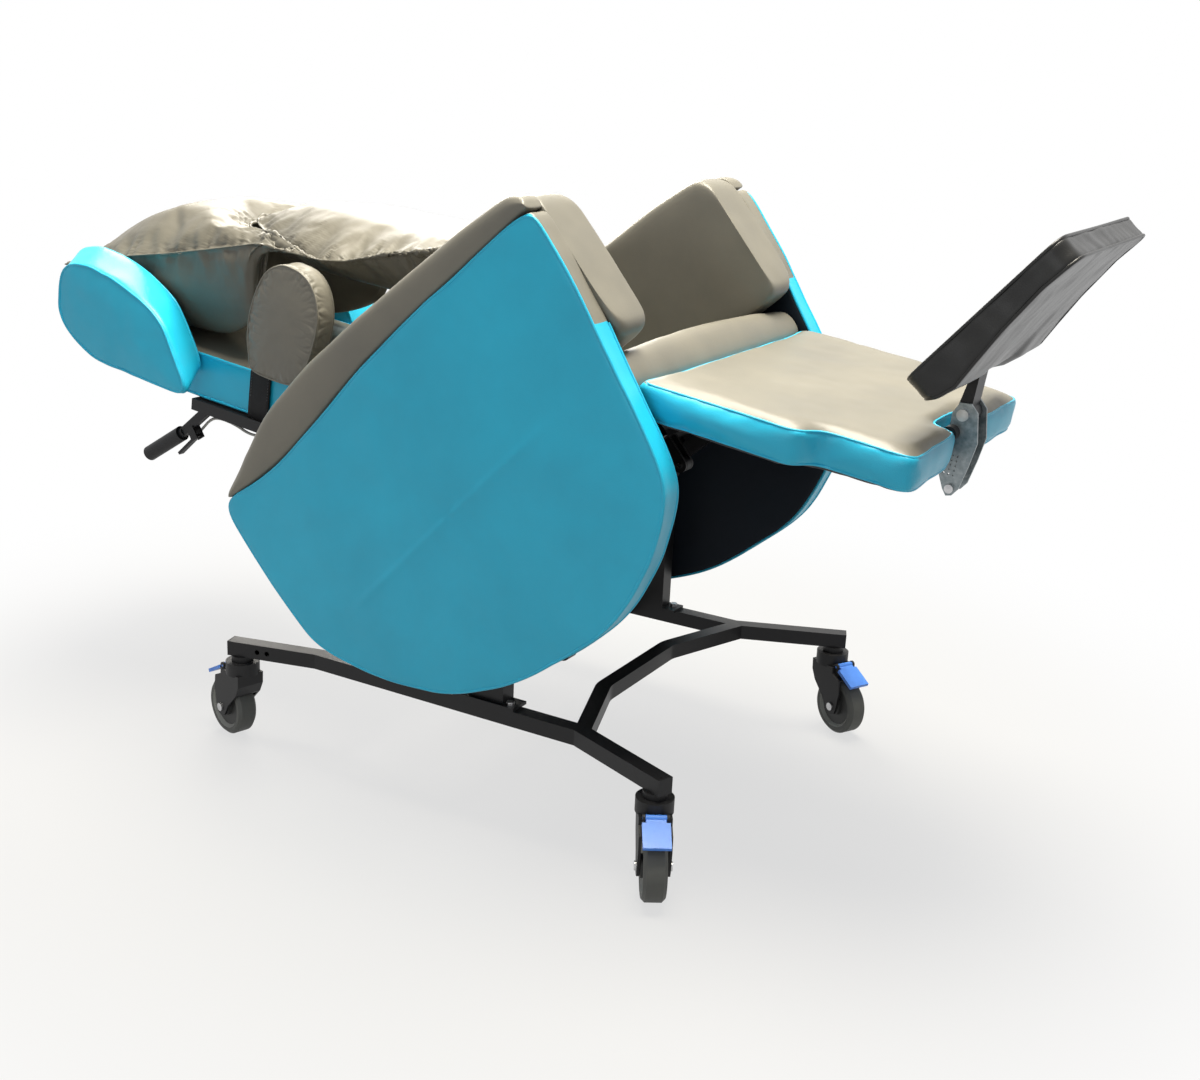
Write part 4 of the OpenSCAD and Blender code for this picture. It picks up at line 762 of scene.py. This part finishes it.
for edge_name, y in (("foot", 377), ("head", 413)):
    row = [back_place @ (Vector((x * wider, y, z + lift if abs(x) < strap_bend else z)) / 1000)
           for x, z in strap_loop[1:10]]
    sewn = follow("strap_stitches_" + edge_name, row, stitches, closed=False, Pitch=0.005, Finish=thread)
    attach(sewn, "backrest")

# Trunk supports
# Two small upright pads of moulded foam in grey vinyl, one on each side of the trunk, on the strap.
# The boxing strip puckers where it is sewn round the curve.
def gather(piece, seam_points, pitch, depth, reach, seed):
    """Draws the cover into short creases that run square to a sewn seam and fade away from it."""
    fold_sharpness, fine_sharpness, fine_share, seam_clear = 4.5, 4, 0.25, 0.006
    tree = kdtree.KDTree(len(seam_points))
    run, runs = 0.0, []
    for k, p in enumerate(seam_points):
        run += (p - seam_points[k - 1]).length
        runs.append(run)
        tree.insert(p, k)
    tree.balance()
    away = [v.normal.copy() for v in piece.data.vertices]
    for v, out in zip(piece.data.vertices, away):
        _, k, distance = tree.find(v.co)
        if distance < reach * 4:
            wave = noise.noise(Vector((runs[k] / pitch, distance / (reach * 2.2), seed)))
            fine = noise.noise(Vector((runs[k] / pitch * 2.4, distance / reach, seed + 9)))
            dent = max(0, 1 - fold_sharpness * abs(wave)) + fine_share * max(0, 1 - fine_sharpness * abs(fine))
            v.co -= out * depth * dent * math.exp(-distance / reach) * min(distance / seam_clear, 1)


lateral_line = along([(256, 218), (262, 249), (275, 272), (295, 287), (318, 292), (341, 292), (370, 275),
                      (388, 243), (400, 202), (402, 162), (395, 127), (380, 102), (290, 102), (272, 137),
                      (261, 177)], 80, closed=True)
support_in, support_out, support_seam = 197.5, 240.5, 2
for side, mirrored in sides:
    rings = padded_slab(lateral_line, lateral_line, support_in, support_out, edge=7, crown_in=2, crown_out=4)
    lateral = skin(side + "_trunk_support", rings, back_place, mirrored)
    wear(lateral, taupe_vinyl)
    subdivide(lateral, 2)
    lines = [mark_seam(lateral, *seam_plane(back_place, 0, value, mirrored))
             for value in (support_out - support_seam, support_in + support_seam)]
    around = along(lines[0], 300, closed=True)
    gather(lateral, around, pitch=0.016, depth=0.0030, reach=0.012, seed=5)
    ruffle(lateral, depth=0.0007, pitch=0.03, seed=7)
    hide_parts(side + "_lateral_pad")
    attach(lateral, "backrest")
    for edge_name, line in zip(("outer", "inner"), lines):
        seam = follow(side + "_trunk_support_welt_" + edge_name, line, welt, Radius=0.0016,
                      Finish=taupe_vinyl)
        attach(seam, "backrest")

# Head wings
# Two deep foam wings in teal vinyl stand beside the head; their faces lean, and both edges are piped.
wing_outer = along([(484, 46), (497, 84), (542, 149), (590, 180), (637, 197), (690, 207), (737, 208),
                    (780, 189), (790, 131), (781, 102), (745, 72), (701, 51), (628, 44), (535, 42)],
                   100, closed=True)
wing_inner = along([(526, 60), (539, 98), (584, 163), (632, 194), (679, 211), (732, 221), (779, 222),
                    (822, 203), (832, 145), (823, 116), (787, 86), (743, 65), (670, 58), (577, 56)],
                   100, closed=True)
for side, mirrored in sides:
    rings = padded_slab(wing_inner, wing_outer, x_in=204, x_out=287.5, edge=9, crown_in=0, crown_out=5)
    wing = skin(side + "_head_wing_cover", rings, back_place, mirrored)
    wear(wing, teal_vinyl)
    subdivide(wing, 1)
    ruffle(wing, depth=0.0012, pitch=0.06, seed=8)
    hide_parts(side + "_head_wing")
    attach(wing, "backrest")
    for edge_name, value in (("outer", 285.5), ("inner", 206.5)):
        line = mark_seam(wing, *seam_plane(back_place, 0, value, mirrored))
        seam = follow(side + "_wing_welt_" + edge_name, line, welt, Radius=0.0024, Finish=teal_vinyl)
        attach(seam, "backrest")


# Pillows
# Two fibre-filled pillows in thin stretch vinyl lie over the backrest, each sewn from two panels.
# Where they meet they press together, their corners stay pointed, and the cover gathers along the seams.
def between(table, value):
    """The value read off a table of pairs, by straight lines between them."""
    for (a, low), (b, high) in zip(table, table[1:]):
        if value <= b:
            return low + (high - low) * min(max((value - a) / (b - a), 0), 1)
    return table[-1][1]


meeting_middle, meeting_bow, trunk_end, side_waist, end_fullness = 583, 278, 440, 0.05, 40


def meeting_line(u, beside):
    """How far along the back the two pillows meet, at this share of their half width."""
    return meeting_middle - meeting_bow * abs(u) ** 2.2 + beside


def pillow(name, half, foot_edge, head_edge, level, rise, under, cells=64):
    """A two-panel pillow; level gives its seam's height, rise its crown and under its flat underside."""
    grid, faces, spots, rim_points = {}, [], [], {}

    def spot(i, j, side):
        rim = i in (0, cells) or j in (0, cells)
        key = (i, j, 0 if rim else side)
        if key not in grid:
            u, v = -math.cos(math.pi * i / cells), -math.cos(math.pi * j / cells)
            y = foot_edge(u) + (head_edge(u) - foot_edge(u)) * (v + 1) / 2
            x = half * u * (1 - side_waist * (1 - v * v))
            seam_z = level(u, v, y)
            if side > 0:
                z = seam_z + rise * (1 - abs(u) ** 3) * (1 - abs(v) ** 3)
            else:
                side_power = 13 if y > trunk_end else 2.4
                z = seam_z + (under - seam_z) * (1 - abs(u) ** side_power) * (1 - abs(v) ** 6)
            grid[key] = len(spots)
            spots.append(Vector((x, y, z)))
            if rim:
                rim_points[(i, j)] = len(spots) - 1
        return grid[key]
    for side in (1, -1):
        for i in range(cells):
            for j in range(cells):
                quad = [spot(i + a, j + b, side) for a, b in ((0, 0), (1, 0), (1, 1), (0, 1))]
                faces.append(quad if side > 0 else quad[::-1])
    around = [(i, 0) for i in range(cells)] + [(cells, j) for j in range(cells)]
    around += [(i, cells) for i in range(cells, 0, -1)] + [(0, j) for j in range(cells, 0, -1)]
    mesh = bpy.data.meshes.new(name)
    mesh.from_pydata(spots, [], faces)
    mesh.transform(back_place @ Matrix.Scale(0.001, 4))
    return set_out(name, mesh), [rim_points[key] for key in around]


def stuff(piece, pressure, cap, frames, shrink, held=()):
    """Blows the cover up like a filled pillow and limits how far each point may move."""
    start = [v.co.copy() for v in piece.data.vertices]
    cloth = piece.modifiers.new("filling", "CLOTH")
    filling = cloth.settings
    if held:
        seam_hold = piece.vertex_groups.new(name="seam_hold")
        seam_hold.add(list(held), 1.0, "REPLACE")
        filling.vertex_group_mass = "seam_hold"
    filling.use_pressure = True
    filling.uniform_pressure_force = pressure
    filling.effector_weights.gravity = 0
    filling.quality = 5
    filling.tension_stiffness = 12
    filling.bending_stiffness = 0.4
    filling.shrink_min = shrink
    for step in range(1, frames + 1):
        scene.frame_set(step)
    apply_modifiers(piece)
    for v, was in zip(piece.data.vertices, start):
        move = v.co - was
        if move.length > cap:
            v.co = was + move.normalized() * cap
    scene.frame_set(1)
    piece.vertex_groups.clear()


pillow_vinyl = finish("thin_pillow_vinyl", (0.118, 0.112, 0.092), (0.156, 0.146, 0.116), 0.46, 6, vinyl_grain,
                      0.0002, kind="cells", gloss=0.35)
head_line = [(323, 305), (432, 301), (551, 264), (642, 237), (717, 217), (880, 165)]
back_middle = [(58, 345), (179, 321), (298, 311), (450, 305), (583, 308)]
back_side = [(58, 375), (179, 339), (256, 311), (336, 297)]


def head_level(u, v, y):
    """The height of the head pillow's seam, with the fullness of its end towards the seat."""
    return between(head_line, y) + end_fullness * (1 - u * u) * ((1 - v) / 2) ** 2


def back_level(u, v, y):
    """The height of the back pillow's seam, which drops towards the sides."""
    return between(back_middle, y) * (1 - abs(u) ** 3) + between(back_side, y) * abs(u) ** 3


for name, node, half, foot_edge, head_edge, level, rise, under, seed in (
        ("head_pillow_cover", "head_pillow", 203, lambda u: meeting_line(u, 7), lambda u: 885 - 17 * u * u,
         head_level, 66, 106, 1.0),
        ("back_pillow_cover", "back_pillow", 194, lambda u: 58, lambda u: meeting_line(u, -7),
         back_level, 47, 258, 2.0)):
    cover, rim = pillow(name, half, foot_edge, head_edge, level, rise, under)
    seam_points = [cover.data.vertices[k].co.copy() for k in rim]
    stuff(cover, pressure=3.0, cap=0.010, frames=20, shrink=-0.03, held=rim)
    subdivide(cover, 1)
    seam_fine = along(seam_points, 700, closed=True)
    gather(cover, seam_fine, pitch=0.025, depth=0.0056, reach=0.044, seed=seed)
    ruffle(cover, depth=0.0045, pitch=0.085, seed=seed, stretch=(1, 0.5, 1))
    wear(cover, pillow_vinyl)
    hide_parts(node)
    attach(cover, "backrest")
    seam = follow(name.replace("cover", "seam"), seam_fine, welt, Radius=0.0014, Spacing=0.005,
                  Finish=pillow_vinyl)
    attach(seam, "backrest")

# Push handles
# Moulded black grips on bent bars at the back, each with a release lever under it, and one grey cable.
for node in ("right_push_handle", "left_push_handle", "right_trigger", "left_trigger", "angle_knob"):
    wear_cad(node, moulded_black)
cable_sheath = finish("grey_cable_sheath", (0.30, 0.30, 0.29), (0.42, 0.42, 0.40), 0.45, 60, 1200, 0.0001)
wear_cad("release_cable", cable_sheath)

# Legrest
# A flat boxed foam pad, wide under the knees and narrower to the front, where it is cut out round
# the footplate bracket; taupe on top with teal sides and a dark underside.
leg_place = seat_place @ tipped(-0.342, 0.029, 48)
half_rows = [(288, 8), (291, -20), (292, -60), (292, -120), (292, -180), (291, -222), (284, -236),
             (262, -252), (254, -262), (252, -300), (251, -340), (249, -372), (240, -385)]
front_rows = [(240, -385), (200, -387), (130, -388), (72, -386), (62, -380), (54, -356), (44, -348), (0, -347)]
rear_y, rear_half, rear_parts = 8, 288, 30
leg_line = [Vector((p.y, p.x)) for p in along(half_rows, 60) + along(front_rows, 34)[1:]]
leg_line += [Vector((p.x, -p.y)) for p in reversed(leg_line[:-1])]
leg_line += [Vector((rear_y, -rear_half + 2 * rear_half * t / rear_parts)) for t in range(1, rear_parts)]
leg_centre = -180
rings = []
for z, inset in ((-7.5, 12), (-7.5, 4), (-4, 0.6), (4, 0), (20, 0.8), (34, 0), (40, 1.2), (43, 6), (45, 20)):
    ring = []
    for p in leg_line:
        inward = Vector((leg_centre - p.x, -p.y * 0.7)).normalized() * inset
        ring.append(Vector((p.y + inward.y, p.x + inward.x, z)))
    rings.append(ring)
leg_cover = skin("legrest_pad_cover", rings, leg_place, flat_ends=True)
evened = leg_cover.modifiers.new("even_mesh", "REMESH")
evened.mode = "VOXEL"
evened.voxel_size = 0.006
apply_modifiers(leg_cover)
stuff(leg_cover, pressure=2.5, cap=0.006, frames=14, shrink=0.0)
soften = leg_cover.modifiers.new("softening", "SMOOTH")
soften.factor = 0.5
soften.iterations = 4
apply_modifiers(leg_cover)
ruffle(leg_cover, depth=0.0012, pitch=0.07, seed=9)
wear(leg_cover, taupe_vinyl, teal_vinyl, lining)
leg_top_seam, leg_under_seam = 41.5, -4
spot, away = seam_plane(leg_place, 2, leg_top_seam)
top_line = mark_seam(leg_cover, spot, -away, 1)
spot, away = seam_plane(leg_place, 2, leg_under_seam)
under_line = mark_seam(leg_cover, spot, -away, 2)
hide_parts("legrest_pad")
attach(leg_cover, "legrest")
for edge_name, line in (("upper", top_line), ("lower", under_line)):
    seam = follow("legrest_welt_" + edge_name, line, welt, Radius=0.0018, Finish=teal_vinyl)
    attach(seam, "legrest")

# Footplate and its bracket
# Two zinc-plated perforated plates hold a hinged board that is padded all over in black vinyl.
zinc = finish("zinc_plating", (0.16, 0.19, 0.20), (0.30, 0.33, 0.34), 0.40, 120, 700, 0.00012, metal=0.9)
wear_cad("footplate_bracket", zinc)
wear_cad("bracket_bolts", bolt_steel)
foot_place = leg_place @ tipped(-0.371, 0.060, -57)
black_vinyl = finish("black_gloss_vinyl", (0.006, 0.006, 0.006), (0.012, 0.012, 0.011), 0.32, 12, vinyl_grain,
                     0.0002, kind="cells", gloss=0.34)
foot_line = rounded_box(-215, 215, -300, -32, radius=26, spacing=10)
foot_low, foot_high, foot_seam = 35.5, 71.5, 2
rings = padded_slab(foot_line, foot_line, foot_low, foot_high, edge=7, crown_in=3, crown_out=3)
foot_cover = skin("footplate_cover", rings, foot_place @ flat_on_z)
wear(foot_cover, black_vinyl)
subdivide(foot_cover, 2)
foot_lines = [mark_seam(foot_cover, *seam_plane(foot_place, 2, value))
              for value in (foot_high - foot_seam, foot_low + foot_seam)]
plain_under, under_top, under_depth, hinge_half, hinge_fade, least_sag = 36.5, 66, 28, 30, 60, 0.6
foot_under = [(-300, 36), (-243, 38), (-172, 33), (-120, 26), (-80, 20), (-55, 25), (-32, 37)]


def hang_under(spot):
    """The underside of the cover sags towards the hinge and stays clear of the hinge plate."""
    own = foot_place.inverted() @ spot * 1000
    beside_hinge = min(max((abs(own.x) - hinge_half) / hinge_fade, least_sag), 1)
    share = min(max((under_top - own.z) / under_depth, 0), 1)
    eased = beside_hinge * beside_hinge * (3 - 2 * beside_hinge)
    own.z += (between(foot_under, own.y) - plain_under) * eased * share
    return foot_place @ (own / 1000)


for v in foot_cover.data.vertices:
    v.co = hang_under(v.co)
ruffle(foot_cover, depth=0.0014, pitch=0.05, seed=10)
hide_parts("footplate")
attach(foot_cover, "foot")
for edge_name, line in zip(("upper", "lower"), foot_lines):
    seam = follow("footplate_welt_" + edge_name, [hang_under(p) for p in line], welt, Radius=0.0024,
                  Finish=black_vinyl)
    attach(seam, "foot")
